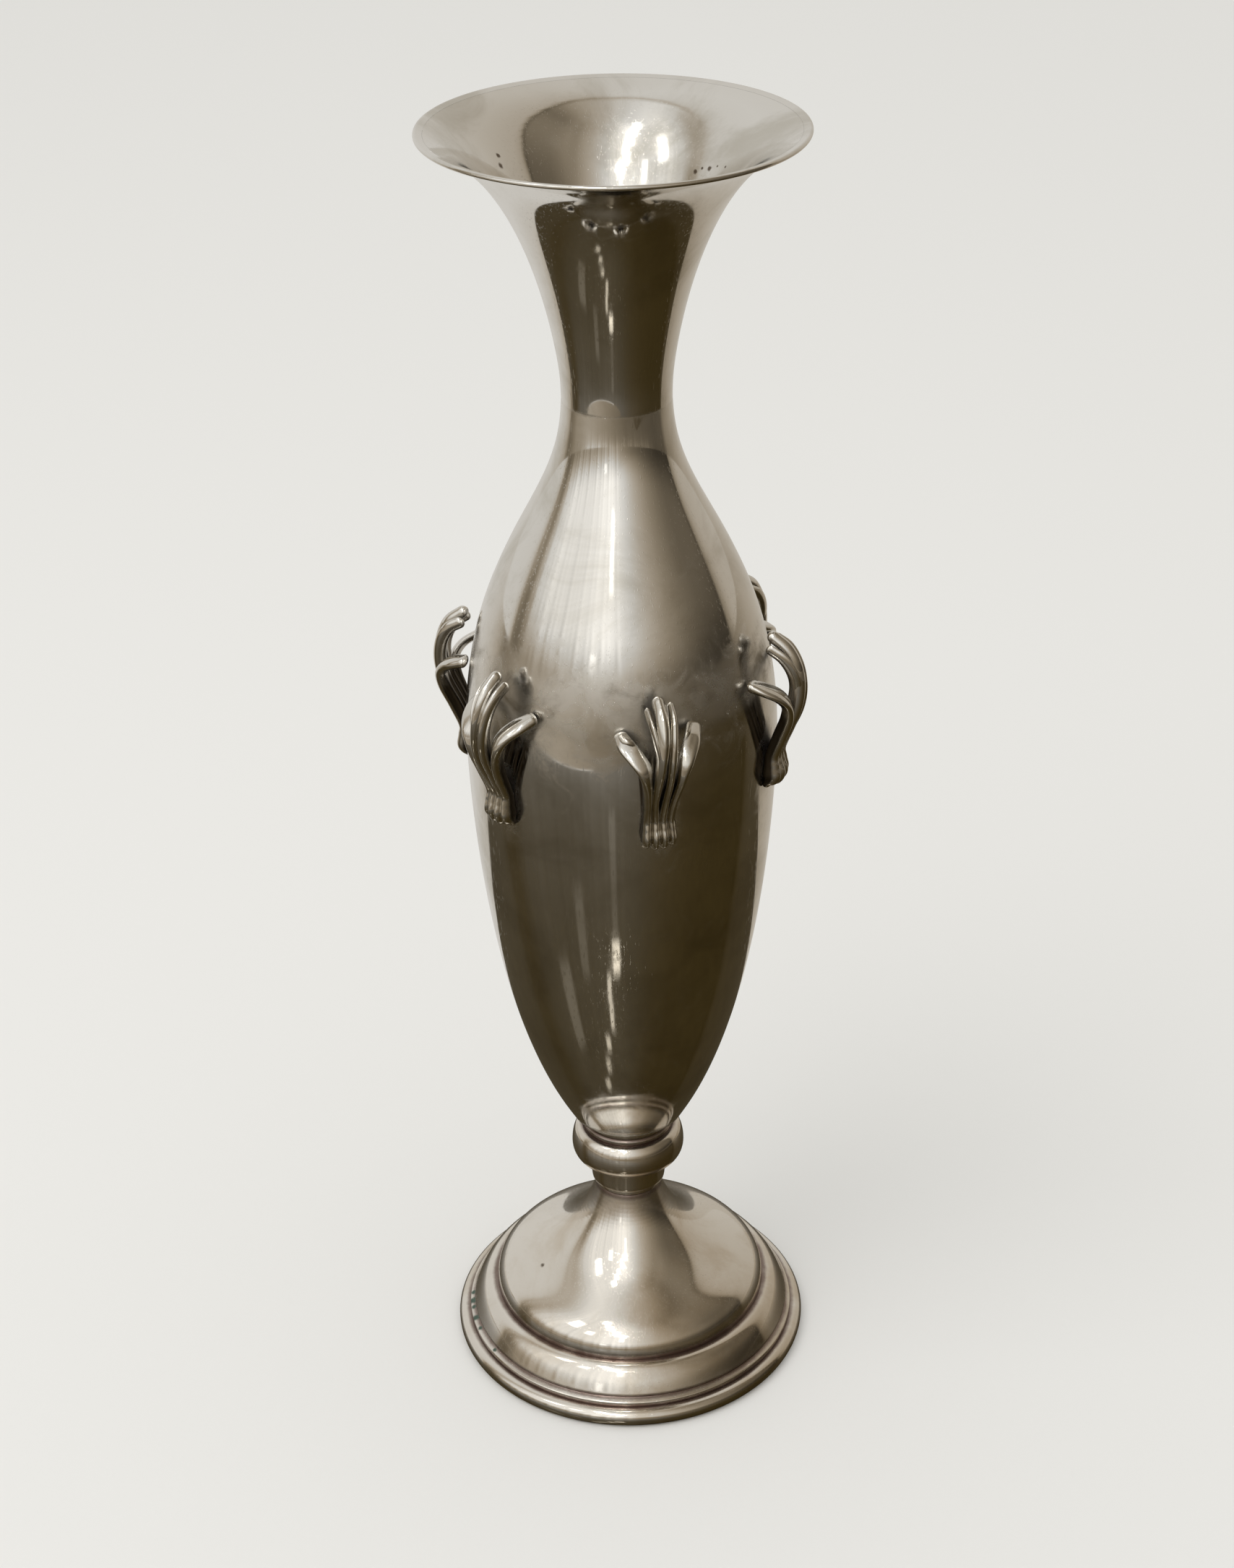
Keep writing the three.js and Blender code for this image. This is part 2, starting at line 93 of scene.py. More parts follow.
camera = bpy.data.objects.new("camera", bpy.data.cameras.new("camera"))
scene.collection.objects.link(camera)
camera.data.sensor_width = SENSOR
camera.data.lens = LENS_PIXELS / max(PICTURE) * SENSOR
camera.data.clip_end = SIGHT
tilt = Matrix.Rotation(math.pi / 2 - LOOK_DOWN, 4, "X") @ Matrix.Rotation(LEAN, 4, "Z")
camera.matrix_world = Matrix.Translation(EYE) @ tilt
scene.camera = camera
print("lens: %.1f mm" % camera.data.lens)

# %% [markdown]
# ## Nodes
# Every material below is a small graph of nodes. Adding and wiring them one by one takes many
# lines, so one helper makes a node, sets its options and fills or links its inputs. The others are
# short names for the kinds of node that come back.

# %% Helpers for nodes
def node(tree, kind, inputs=None, **options):
    """Add a node; each input is a number, a colour, or an output of another node to link."""
    made = tree.nodes.new("ShaderNode" + kind)
    for name, value in options.items():
        setattr(made, name, value)
    for name, value in (inputs or {}).items():
        if isinstance(value, bpy.types.NodeSocket):
            tree.links.new(value, made.inputs[name])
        else:
            made.inputs[name].default_value = value
    return made


def maths(tree, operation, *values, clamp=False):
    """One sum on two values, or on three for a product with something added."""
    made = node(tree, "Math", dict(enumerate(values)), operation=operation, use_clamp=clamp)
    return made.outputs[0]


def rising(tree, value, low, high, out_low=0.0, out_high=1.0):
    """A value that rises smoothly from out_low to out_high while the given one goes from low to
    high."""
    limits = {0: value, 1: low, 2: high, 3: out_low, 4: out_high}
    return node(tree, "MapRange", limits, interpolation_type="SMOOTHSTEP").outputs[0]


def mixed(tree, share, first, second):
    """Two colours mixed by a share from 0 to 1."""
    return node(tree, "Mix", {0: share, 6: first, 7: second}, data_type="RGBA").outputs[2]


def grain(tree, place, scale, detail=3.0, roughness=0.55, distortion=0.0):
    """Cloudy noise between 0 and 1 at a place."""
    settings = {"Vector": place, "Scale": scale, "Detail": detail}
    settings.update({"Roughness": roughness, "Distortion": distortion})
    return node(tree, "TexNoise", settings).outputs[0]


def object_place(tree):
    """Where a point is on its object, which here is where it is in the scene."""
    return node(tree, "TexCoord").outputs["Object"]


def new_finish(name, plain):
    """A new material, its node tree and its shader; what is the same all over the surface is set on
    the shader's own sockets."""
    made = bpy.data.materials.new(name)
    made.use_nodes = True
    shader = made.node_tree.nodes["Principled BSDF"]
    for label, value in plain.items():
        shader.inputs[label].default_value = value
    return made, made.node_tree, shader


print("node helpers ready")

# %% [markdown]
# ## Floor and light
# The vase stands on a plain pale floor under soft light. The light could come from many lamps, but
# a world that is a little brighter overhead lights evenly, and one broad lamp adds a soft shadow.

# %% Pale floor, soft world and lamp
FLOOR_REACH = 9.0
FLOOR_PALE = (0.80, 0.79, 0.77, 1)
FLOOR_FIBRE = tuple(0.985 * v for v in FLOOR_PALE[:3]) + (1,)
FIBRE_SCALE = 900.0
SIDE_LIGHT = (0.62, 0.62, 0.60, 1)
TOP_LIGHT = (1.22, 1.22, 1.20, 1)
OVERHEAD = (0.55, 0.92)  # sine of the elevation where the brighter light starts and is full
LAMP_SIZE, LAMP_WATTS = 1.6, 16
LAMP_PLACE, LAMP_TURN = (-1.1, -0.9, 2.3), (24, -26, 0)  # in metres and degrees


def sheet(name, x, y, z):
    """A surface whose points are given as three arrays over a grid of two parameters."""
    points = np.stack(np.broadcast_arrays(x, y, z), -1)
    rows, columns = points.shape[:2]
    index = np.arange(rows * columns).reshape(rows, columns)
    faces = np.stack([index[:-1, :-1], index[:-1, 1:], index[1:, 1:], index[1:, :-1]], -1)
    mesh = bpy.data.meshes.new(name)
    mesh.from_pydata(points.reshape(-1, 3).tolist(), [], faces.reshape(-1, 4).tolist())
    obj = bpy.data.objects.new(name, mesh)
    scene.collection.objects.link(obj)
    return obj


reach = np.linspace(-FLOOR_REACH, FLOOR_REACH, 13)
floor = sheet("floor", reach[None, :], reach[:, None], 0.0)
paper, tree, shader = new_finish("pale_floor", {"Roughness": 0.9, "Specular IOR Level": 0.1})
shade = mixed(tree, grain(tree, object_place(tree), FIBRE_SCALE), FLOOR_PALE, FLOOR_FIBRE)
tree.links.new(shade, shader.inputs["Base Color"])
floor.data.materials.append(paper)

world = bpy.data.worlds.new("soft_light")
scene.world = world
world.use_nodes = True
sky = world.node_tree
direction = node(sky, "TexCoord").outputs["Generated"]
height = node(sky, "SeparateXYZ", {0: direction}).outputs["Z"]
light = mixed(sky, rising(sky, height, *OVERHEAD), SIDE_LIGHT, TOP_LIGHT)
sky.links.new(light, sky.nodes["Background"].inputs["Color"])

broad_lamp = bpy.data.lights.new("broad_lamp", "AREA")
broad_lamp.size = LAMP_SIZE
broad_lamp.energy = LAMP_WATTS
lamp = bpy.data.objects.new("broad_lamp", broad_lamp)
scene.collection.objects.link(lamp)
lamp.location = LAMP_PLACE
lamp.rotation_euler = [math.radians(v) for v in LAMP_TURN]
lamp.visible_glossy = False  # a plain square in the polish would give it away
print("floor, world and lamp made")

# %% [markdown]
# ## What the polish mirrors
# Polished silver has almost no look of its own: it shows the room. On a bare white set it turns to
# milk, so a photographer of silver builds a room of cards for it: bright on the left, brown on the
# right, pale behind, and a dark lacquered top below, which mirrors the cards in its turn. All of it
# is seen by the polish alone, so that the floor stays plain from every side.

# %% Cards for the polish
PALE_TINT = np.array([1.0, 0.985, 0.945])
DIM_TINT = np.array([1.22, 1.0, 0.70])
DIM, PALE = 0.05, 0.75  # levels at which a card is quite brown and quite pale

glow_paint = bpy.data.materials.new("card_glow")
glow_paint.use_nodes = True
glow_paint.cycles.emission_sampling = "NONE"
tree = glow_paint.node_tree
tree.nodes.remove(tree.nodes["Principled BSDF"])
glow = node(tree, "Attribute", attribute_name="glow").outputs["Color"]
emission = node(tree, "Emission", {"Color": glow})
tree.links.new(emission.outputs[0], tree.nodes["Material Output"].inputs["Surface"])


def smooth(value, low, high):
    """0 below low and 1 above high, with a soft step between."""
    t = np.clip((value - low) / (high - low), 0, 1)
    return t * t * (3 - 2 * t)


def mirrored_only(obj):
    """Hide an object from the camera and from all light but what a polished surface throws back."""
    obj.visible_camera = obj.visible_diffuse = obj.visible_shadow = False
    obj.visible_transmission = obj.visible_volume_scatter = False
    return obj


def card(name, x, y, z, level):
    """A card that only mirrored light meets, as bright at each point as the level says; the dimmer
    it is there, the browner."""
    obj = mirrored_only(sheet(name, x, y, z))
    grid = np.broadcast_shapes(x.shape, y.shape, np.shape(z))
    level = np.broadcast_to(level, grid).reshape(-1, 1)
    pale = smooth(level, DIM, PALE)
    colours = np.ones((len(level), 4), np.float32)
    colours[:, :3] = level * (DIM_TINT * (1 - pale) + PALE_TINT * pale)
    glow = obj.data.attributes.new("glow", "FLOAT_COLOR", "POINT")
    glow.data.foreach_set("color", colours.ravel())
    obj.data.materials.append(glow_paint)


print("card paint:", glow_paint.name)

# %% [markdown]
# ## Front of the room
# The room is one half sphere, and its glow is a function of bearing and elevation, because that is
# all that a mirror asks of a distant wall. Here is the half before the vase. A short table gives
# its brightness by bearing, and soft steps dim it towards floor and ceiling. Small bright panes and
# lamps make the sparks of white.

# %% Brightness of the front
FRONT_WALLS = np.array([  # bearing from the front towards the right, in degrees, and brightness
    (-110, 0.74), (-80, 0.76), (-70, 0.90), (-50, 0.88), (-35, 0.95), (-25, 1.04), (-16, 1.12),
    (-8, 1.08), (0, 0.90), (8, 0.74), (16, 0.58), (25, 0.44), (35, 0.33), (45, 0.24), (55, 0.18),
    (65, 0.135), (75, 0.11), (110, 0.10)])
PANES = [  # bearing, elevation, half width, half height and extra brightness
    (-60, 52, 5.5, 6.5, 1.9), (-38, 43, 3.5, 5.0, 1.3), (-8.5, 38, 2.2, 9.0, 0.8),
    (-22, 12, 2.5, 2.5, 0.4)]
LAMPS = [  # a cluster of small ones, in the same order
    (-9, 46.5, 3.4, 1.7, 24), (-16.5, 50.5, 1.8, 2.2, 14), (-15.5, 55, 2.0, 2.2, 14),
    (-24, 60, 2.8, 1.5, 14), (-29, 64.5, 3.2, 1.5, 12), (-37, 69, 4.2, 1.5, 12)]
STRIPE, STRIPE_BELOW = 0.03, 0.07  # depth of the stripes, and what is added to it near the floor
STRIPE_FADE, STRIPE_END = (6, 26), (-6, 12)  # elevations of that change, bearings where they end
RIGHT_GLOW, RIGHT_RISE, RIGHT_FROM = 0.07, (30, 60), (45, 60)  # added high up on the right
AT_FLOOR, FULL_WALL = 0.34, 21  # share of the brightness at the floor, and where it is whole
CEILING, CEILING_FADE = 0.55, 1.2  # brightness in the middle, and what it loses to the right
CEILING_RISE, CEILING_RANGE = (60, 79), (0.1, 1.1)


def streaks(bearing):
    """Uneven upright stripes, as folds of cloth give: a sum of three waves round the room."""
    b = np.radians(bearing)
    return np.cos(b * 31) + np.cos(b * 53 + 1.0) + np.cos(b * 83 + 2.2)


def within(value, middle, half):
    """1 near the middle and 0 beyond the half width, with a soft edge."""
    return 1 - smooth(np.abs(value - middle), 0.8 * half, 1.2 * half)


def front_level(bearing, elevation, right):
    """Brightness of the front half: the wall by bearing, striped on the left and dimmer near the
    floor, then a ceiling that fades from left to right, then the panes and lamps."""
    level = np.interp(bearing, FRONT_WALLS[:, 0], FRONT_WALLS[:, 1])
    uneven = STRIPE + STRIPE_BELOW * (1 - smooth(elevation, *STRIPE_FADE))
    level = level * (1 + uneven * streaks(bearing) * (1 - smooth(bearing, *STRIPE_END)))
    level = level + RIGHT_GLOW * smooth(elevation, *RIGHT_RISE) * smooth(bearing, *RIGHT_FROM)
    level = level * (AT_FLOOR + (1 - AT_FLOOR) * smooth(elevation, 0, FULL_WALL))
    overhead = smooth(elevation, *CEILING_RISE)
    ceiling = np.clip(CEILING - CEILING_FADE * right, *CEILING_RANGE)
    level = level * (1 - overhead) + ceiling * overhead
    for across, rise, wide, high, extra in PANES + LAMPS:
        level = level + extra * within(bearing, across, wide) * within(elevation, rise, high)
    return level


print("front: %d panes and %d lamps" % (len(PANES), len(LAMPS)))

# %% [markdown]
# ## Back of the room
# The half behind the vase is paler and plainer. It shows near the outline of every round piece,
# where a mirror throws the glance past itself. A dark line parts the two halves, and a dark frame
# stands on the left, so the sides of the body get the upright bands that make it look round.

# %% The whole room
ROOM_RADIUS = 6.0
BACK_WALLS = np.array([  # bearing and brightness
    (-180, 0.62), (-150, 0.67), (-110, 0.64), (98, 0.20), (102, 0.25), (106, 0.34), (112, 0.40),
    (125, 0.43), (140, 0.47), (155, 0.52), (180, 0.62)])
CORNER_HALF = 0.02  # half the width of the change from front to back
CORNER, CORNER_WIDTH = 0.35, 0.03  # how much darker the line between them is, and its width
CORNER_LEAN = (0.13, 0.10)  # how it leans towards the sides and upwards
FRAME_LEAN, FRAME_WIDTH, FRAME_LEFT = (0.04, 0.07), 0.13, (0.15, 0.6)  # the frame on the left
FRAME, FRAME_ABOVE, FRAME_RISE = 0.14, 0.28, (2, 45)  # its brightness, and what is added above


def room_level(bearing, elevation):
    """Brightness of the room: the front half, then by bearing the one behind, with a dark line
    between them and a dark frame on the left."""
    b, e = np.radians(bearing), np.radians(elevation)
    right, back, up = np.sin(b) * np.cos(e), -np.cos(b) * np.cos(e), np.sin(e)
    border = back - CORNER_LEAN[0] * np.abs(right) - CORNER_LEAN[1] * up
    turn = smooth(border, -CORNER_HALF, CORNER_HALF)
    level = front_level(bearing, elevation, right) * (1 - turn)
    level = level + np.interp(bearing, BACK_WALLS[:, 0], BACK_WALLS[:, 1]) * turn
    level = level * (1 - CORNER * np.exp(-((border / CORNER_WIDTH) ** 2)))
    behind = back - FRAME_LEAN[0] * np.abs(right) - FRAME_LEAN[1] * up
    post = np.exp(-((behind / FRAME_WIDTH) ** 2)) * smooth(-right, *FRAME_LEFT)
    dark = FRAME + FRAME_ABOVE * smooth(elevation, *FRAME_RISE)
    return level * (1 - post) + dark * post


bearing = np.linspace(-180, 180, 481)[None, :]
near_floor, above = np.linspace(-0.5, 20, 42), np.linspace(21, 89.98, 70)  # finer where it is low
elevation = np.concatenate([near_floor, above])[:, None]
b, e = np.radians(bearing), np.radians(elevation)
card("room", ROOM_RADIUS * np.sin(b) * np.cos(e), -ROOM_RADIUS * np.cos(b) * np.cos(e),
     ROOM_RADIUS * np.sin(e), room_level(bearing, elevation))
print("room: %.0f m to the wall" % ROOM_RADIUS)

# %% [markdown]
# ## Dark top and dim floor
# Looking down, the polish meets a dark lacquered top close by, and a dim floor further away. The
# lacquer is a real glossy finish and not a painted card, so the room's lamps come back from it as
# the white streaks on the lower body and the neck. Its front edge runs aslant, and a glowing strip
# along it is a painted highlight of the light that edge would catch.

# %% Dark top, its edge and the floor beyond
CARD_LIFT = 0.0004  # off the floor, and off one another
TOP_BACK, TOP_SIDE = 0.214, 1.2
LACQUER, LACQUER_DUST = (0.028, 0.018, 0.004, 1), (0.042, 0.029, 0.008, 1)
LACQUER_TINT = (1.0, 0.92, 0.78, 1)
DUST_SCALE = 40.0
FAR_FLOOR = np.array([  # bearing and brightness
    (-180, 0.60), (-150, 0.64), (-125, 0.55), (-112, 0.40), (-104, 0.16), (-96, 0.20), (-86, 0.30),
    (-60, 0.36), (-42, 0.32), (-25, 0.25), (-5, 0.175), (15, 0.13), (45, 0.10), (75, 0.075),
    (95, 0.085), (104, 0.20), (116, 0.26), (130, 0.35), (150, 0.44), (180, 0.56)])
FAR_GAIN, FAR_STRIPE = 0.8, 0.2  # how much brighter it gets far away in front, and how striped
FAR_FROM, FAR_AHEAD = (1.2, 6), (50, 75)  # distances of that change, and bearings where it ends
EDGE_FROM, EDGE_TO, EDGE_GLOW = -0.80, -0.10, 0.6
EDGE_DEPTH = (-0.012, 0.004)
EDGE_POINT, EDGE_SLANT = (-0.08, -0.87), -0.54  # a place on the front edge, and its slope


def top_front(x):
    """Place of the top's front edge at a place from left to right: a straight line aslant."""
    return EDGE_POINT[1] + EDGE_SLANT * (x - EDGE_POINT[0])


across = np.linspace(-TOP_SIDE, TOP_SIDE, 61)[None, :]
share = np.linspace(0, 1, 31)[:, None]
along = top_front(across) * (1 - share) + TOP_BACK * share
dark_top = mirrored_only(sheet("dark_top", across + 0 * share, along, 2 * CARD_LIFT))
gloss = {"Roughness": 0.04, "Specular Tint": LACQUER_TINT}
lacquer, tree, shader = new_finish("dark_lacquer", gloss)
shade = mixed(tree, grain(tree, object_place(tree), DUST_SCALE), LACQUER, LACQUER_DUST)
tree.links.new(shade, shader.inputs["Base Color"])
dark_top.data.materials.append(lacquer)

bearing = np.linspace(-180, 180, 361)[None, :]
distance = np.geomspace(0.15, 6.2, 20)[:, None]
level = np.interp(bearing, FAR_FLOOR[:, 0], FAR_FLOOR[:, 1])
ahead = 1 - smooth(np.abs(bearing), *FAR_AHEAD)
gain = (FAR_GAIN + FAR_STRIPE * streaks(bearing)) * smooth(distance, *FAR_FROM) * ahead
b = np.radians(bearing)
card("far_floor", distance * np.sin(b), -distance * np.cos(b), CARD_LIFT, level * (1 + gain))

# a glowing strip along the top's front edge, a painted highlight of that edge
edge = np.linspace(EDGE_FROM, EDGE_TO, 30)[None, :]
depth = np.linspace(*EDGE_DEPTH, 4)[:, None]
card("top_edge", edge, top_front(edge) + depth, 3 * CARD_LIFT, EDGE_GLOW)

# %% [markdown]
# ## Marks that all the silver shares
# Old silver is never an even mirror. It carries soft clouds of tarnish, smudges from hands,
# hairlines from polishing, and slow waves left by the spinning. Each is a noise at its own scale,
# and all four sit in one node group, so every piece shows them at the same size.

# %% Node group: polish marks
CLOUD_SCALE, SMUDGE_SCALE, WAVE_SCALE = 26.0, 75.0, 32.0  # the larger, the finer
CLOUD_EDGE, SMUDGE_EDGE, SCRATCH_EDGE = (0.42, 0.70), (0.40, 0.72), (0.68, 0.74)  # where they show
SCRATCH_TURNS = ((0.25, 0.1, 0.4), (-0.5, 0.1, 1.9))  # two ways that a cloth went
SCRATCH_SCALE = (1600, 1600, 45)  # fine across, long along


def group(name, inputs, outputs):
    """An empty shader node group with named inputs of given kinds, and outputs that are all plain
    values; returns the group, its start and its end."""
    made = bpy.data.node_groups.new(name, "ShaderNodeTree")
    for label, kind in inputs.items():
        made.interface.new_socket(label, in_out="INPUT", socket_type="NodeSocket" + kind)
    for label in outputs:
        made.interface.new_socket(label, in_out="OUTPUT", socket_type="NodeSocketFloat")
    return made, made.nodes.new("NodeGroupInput"), made.nodes.new("NodeGroupOutput")


polish_marks, _, end = group("polish_marks", {}, ("Cloud", "Smudge", "Scratch", "Wave"))
spot = object_place(polish_marks)
clouds = grain(polish_marks, spot, CLOUD_SCALE, detail=5.0, roughness=0.6, distortion=0.5)
smudges = grain(polish_marks, spot, SMUDGE_SCALE, detail=6.0, roughness=0.65, distortion=1.2)
hairlines = []
for turn in SCRATCH_TURNS:
    settings = {"Vector": spot, "Rotation": turn, "Scale": SCRATCH_SCALE}
    stretched = node(polish_marks, "Mapping", settings).outputs[0]
    lines = grain(polish_marks, stretched, 1.0, detail=1.0)
    hairlines.append(rising(polish_marks, lines, *SCRATCH_EDGE))
marks = {"Cloud": rising(polish_marks, clouds, *CLOUD_EDGE),
         "Smudge": rising(polish_marks, smudges, *SMUDGE_EDGE),
         "Scratch": maths(polish_marks, "MAXIMUM", *hairlines),
         "Wave": grain(polish_marks, spot, WAVE_SCALE, detail=1.0)}
for label, value in marks.items():
    polish_marks.links.new(value, end.inputs[label])
print("group:", polish_marks.name)

# %% [markdown]
# ## Tarnish and painted shade
# Tarnish gathers where a cloth can't reach: in grooves, along solder joints and round the claws.
# Round the claws the same dark is also painted shade: under their shafts, behind their fingers,
# on the backs of the reeds and where they meet the body. Each mesh carries a number from 0 to 1,
# named recess, that says how sheltered a place is, and round the claws also how shaded. The
# group breaks its edge with noise, so the dark fades out unevenly. A second group makes one small
# ragged stain at a given place.

# %% Node groups: tarnish with painted shade, and stain
BLOTCH_SCALE = 95.0
STAIN_GRAIN, STAIN_RAGGED = 700.0, 0.8
STAIN_EDGE = (1.35, 0.75)  # shares of its size where a stain begins and where it is full

# the mask that darkens the silver: tarnish, and painted shade round the claws
levels = {"Ragged": "Float", "From": "Float", "To": "Float"}
tarnish_and_shade, start, end = group("tarnish_and_shade", levels, ["Mask"])
shelter_and_shade = node(tarnish_and_shade, "Attribute", attribute_name="recess").outputs["Fac"]
spot = object_place(tarnish_and_shade)
blotches = grain(tarnish_and_shade, spot, BLOTCH_SCALE, detail=6.0, roughness=0.62, distortion=0.8)
uneven = maths(tarnish_and_shade, "SUBTRACT", blotches, 0.5)
pushed = maths(tarnish_and_shade, "MULTIPLY_ADD", uneven, start.outputs["Ragged"], shelter_and_shade)
gathered = rising(tarnish_and_shade, pushed, start.outputs["From"], start.outputs["To"])
tarnish_and_shade.links.new(gathered, end.inputs["Mask"])

stain, start, end = group("stain", {"Place": "Vector", "Size": "Float"}, ["Mask"])
spot = object_place(stain)
ends = {0: spot, 1: start.outputs["Place"]}
apart = node(stain, "VectorMath", ends, operation="DISTANCE").outputs["Value"]
share = maths(stain, "DIVIDE", apart, start.outputs["Size"])
uneven = maths(stain, "MULTIPLY", grain(stain, spot, STAIN_GRAIN), STAIN_RAGGED)
inside = rising(stain, maths(stain, "ADD", share, uneven), *STAIN_EDGE)
stain.links.new(inside, end.inputs["Mask"])
print("groups:", tarnish_and_shade.name, stain.name)

# %% [markdown]
# ## Silver
# All the silver is one graph with different colours: a warm grey metal that clouds turn browner,
# and that darkens where tarnish gathers and, round the claws, where shade is painted in. A smudge
# hardly changes the colour of a mirror, but it makes it blunter, so smudges go into the roughness.
# Waves and hairlines are very small bumps.

# %% Graph of worn silver
SMUDGE_BLUNT, CLOUD_BLUNT, TARNISH_BLUNT = 0.05, 0.04, 0.15  # what each adds to the roughness
PATCHY = 0.35  # how much the smudges break up the haze
HAZE_FROM, HAZE_FULL = 0.12, 0.75
WAVE_DEPTH, HAIRLINE_DEPTH = 0.00022, 0.00002  # in metres


def silver(name, clean, toned, dark, keen, ragged, gathers, haze, stains=()):
    """Worn silver: the clean metal, its cloudy tone and its dark tarnish, which gathers between two
    levels of shelter; round the claws the same dark is also painted shade. Keen is the roughness of
    the bare polish, and haze is how much blunter it is where a cloth hardly reaches."""
    made, tree, shader = new_finish(name, {"Metallic": 1.0})
    marks = node(tree, "Group", node_tree=polish_marks).outputs
    levels = {"Ragged": ragged, "From": gathers[0], "To": gathers[1]}
    # the dark mask: tarnish, and painted shade round the claws
    mask = node(tree, "Group", levels, node_tree=tarnish_and_shade).outputs["Mask"]
    colour = mixed(tree, marks["Cloud"], clean + (1,), toned + (1,))
    colour = mixed(tree, mask, colour, dark + (1,))
    for place, size, stain_colour in stains:
        spread = {"Place": [v * MM for v in place], "Size": size * MM}
        blot = node(tree, "Group", spread, node_tree=stain).outputs["Mask"]
        colour = mixed(tree, blot, colour, stain_colour + (1,))
    tree.links.new(colour, shader.inputs["Base Color"])

    blunt = maths(tree, "MULTIPLY_ADD", marks["Smudge"], SMUDGE_BLUNT, keen)
    blunt = maths(tree, "ADD", blunt, maths(tree, "MULTIPLY", marks["Cloud"], CLOUD_BLUNT))
    blunt = maths(tree, "ADD", blunt, maths(tree, "MULTIPLY", mask, TARNISH_BLUNT))
    shelter_and_shade = node(tree, "Attribute", attribute_name="recess").outputs["Fac"]
    patchy = maths(tree, "MULTIPLY_ADD", marks["Smudge"], PATCHY, shelter_and_shade)
    hazy = rising(tree, patchy, HAZE_FROM, HAZE_FULL, 0.0, haze)
    tree.links.new(maths(tree, "ADD", blunt, hazy, clamp=True), shader.inputs["Roughness"])

    waves = {"Strength": 1.0, "Distance": WAVE_DEPTH, "Height": marks["Wave"]}
    wavy = node(tree, "Bump", waves).outputs[0]
    hairlines = {"Strength": 0.5, "Distance": HAIRLINE_DEPTH, "Height": marks["Scratch"]}
    lined = node(tree, "Bump", {**hairlines, "Normal": wavy}).outputs[0]
    tree.links.new(lined, shader.inputs["Normal"])
    return made


print("silver graph ready")

# %% [markdown]
# ## Silver of the body and mouth
# The body is thin spun sheet, rubbed bright for years. Clouds show as grey patches on the shoulder,
# and brown blotches gather in the belt between the claws. A few dark stains sit inside the mouth.

# %% Material: body silver
DARK_STAIN = (0.16, 0.13, 0.10)
MOUTH_PLACES = [  # place and size
    ((-38.6, 19.6, 485.0), 1.3), ((-37.6, 16.7, 482.4), 1.5), ((27.7, 25.1, 476.7), 1.2),
    ((30.1, 23.8, 478.3), 0.8), ((32.3, 21.3, 478.9), 1.3), ((35.0, 18.9, 480.4), 0.6),
    ((37.5, 15.0, 481.3), 0.7)]
MOUTH_STAINS = [(place, size, DARK_STAIN) for place, size in MOUTH_PLACES]
body_silver = silver(
    "body_silver", clean=(0.83, 0.81, 0.775), toned=(0.64, 0.61, 0.55), dark=(0.27, 0.235, 0.18),
    keen=0.045, ragged=1.3, gathers=(0.40, 1.05), haze=0.22, stains=MOUTH_STAINS)
print("material:", body_silver.name)

# %% [markdown]
# ## Silver of the foot and stem
# The foot is handled less and polished less, so it has gone warmer, with purplish brown along its
# joints and a trace of green in the groove over the bead.

# %% Material: foot silver
GREEN_STAIN = (0.11, 0.155, 0.125)
GROOVE_MIDDLE, GROOVE_LEVEL = 65.4, 9.6  # radius and height of the groove over the bead
GREEN_PLACES = [  # bearing and size
    (-91, 1.7), (-86.5, 2.6), (-83, 1.6), (-77, 2.3), (-71, 1.5), (-58, 1.3)]
FOOT_STAINS = [((-35.2, -15.8, 37.0), 1.5, DARK_STAIN)]
for bearing, size in GREEN_PLACES:
    b = math.radians(bearing)
    place = (GROOVE_MIDDLE * math.sin(b), -GROOVE_MIDDLE * math.cos(b), GROOVE_LEVEL)
    FOOT_STAINS.append((place, size, GREEN_STAIN))
foot_silver = silver(
    "foot_silver", clean=(0.84, 0.80, 0.74), toned=(0.69, 0.615, 0.515), dark=(0.25, 0.19, 0.165),
    keen=0.05, ragged=0.60, gathers=(0.40, 1.05), haze=0.08, stains=FOOT_STAINS)
print("material:", foot_silver.name)

# %% [markdown]
# ## Silver of the claws
# The claws are solid castings. Their ridges are rubbed bright by hands and cloths, and the valleys
# between the reeds, their backs and the places against the body are painted nearly black, partly
# tarnish and partly painted shade, which is what makes the pattern readable from afar.

# %% Material: cast silver
# dark is nearly black: tarnish, and painted shade in the valleys, on the backs and at the body
cast_silver = silver(
    "cast_silver", clean=(0.78, 0.755, 0.71), toned=(0.64, 0.61, 0.55), dark=(0.06, 0.048, 0.034),
    keen=0.04, ragged=0.40, gathers=(0.24, 0.84), haze=0.12)
print("material:", cast_silver.name)

# %% [markdown]
# ## Outlines
# Nearly every piece of the vase is turned: it was spun or cast round, so one outline of radius
# against height says all. Curves are drawn with four points each, as a drawing program does.

# %% Curves for outlines
ROUNDNESS = 0.58  # fullness of a rounded edge, where 0.55 is a true quarter round


def bow(start, leave, arrive, end, steps):
    """Points (1-t)^3 start + 3(1-t)^2 t leave + 3(1-t) t^2 arrive + t^3 end, for t from 0 to 1."""
    t = np.linspace(0, 1, steps)[:, None]
    start, leave, arrive, end = (np.array(p, float) for p in (start, leave, arrive, end))
    return ((1 - t) ** 3 * start + 3 * (1 - t) ** 2 * t * leave
            + 3 * (1 - t) * t * t * arrive + t ** 3 * end)


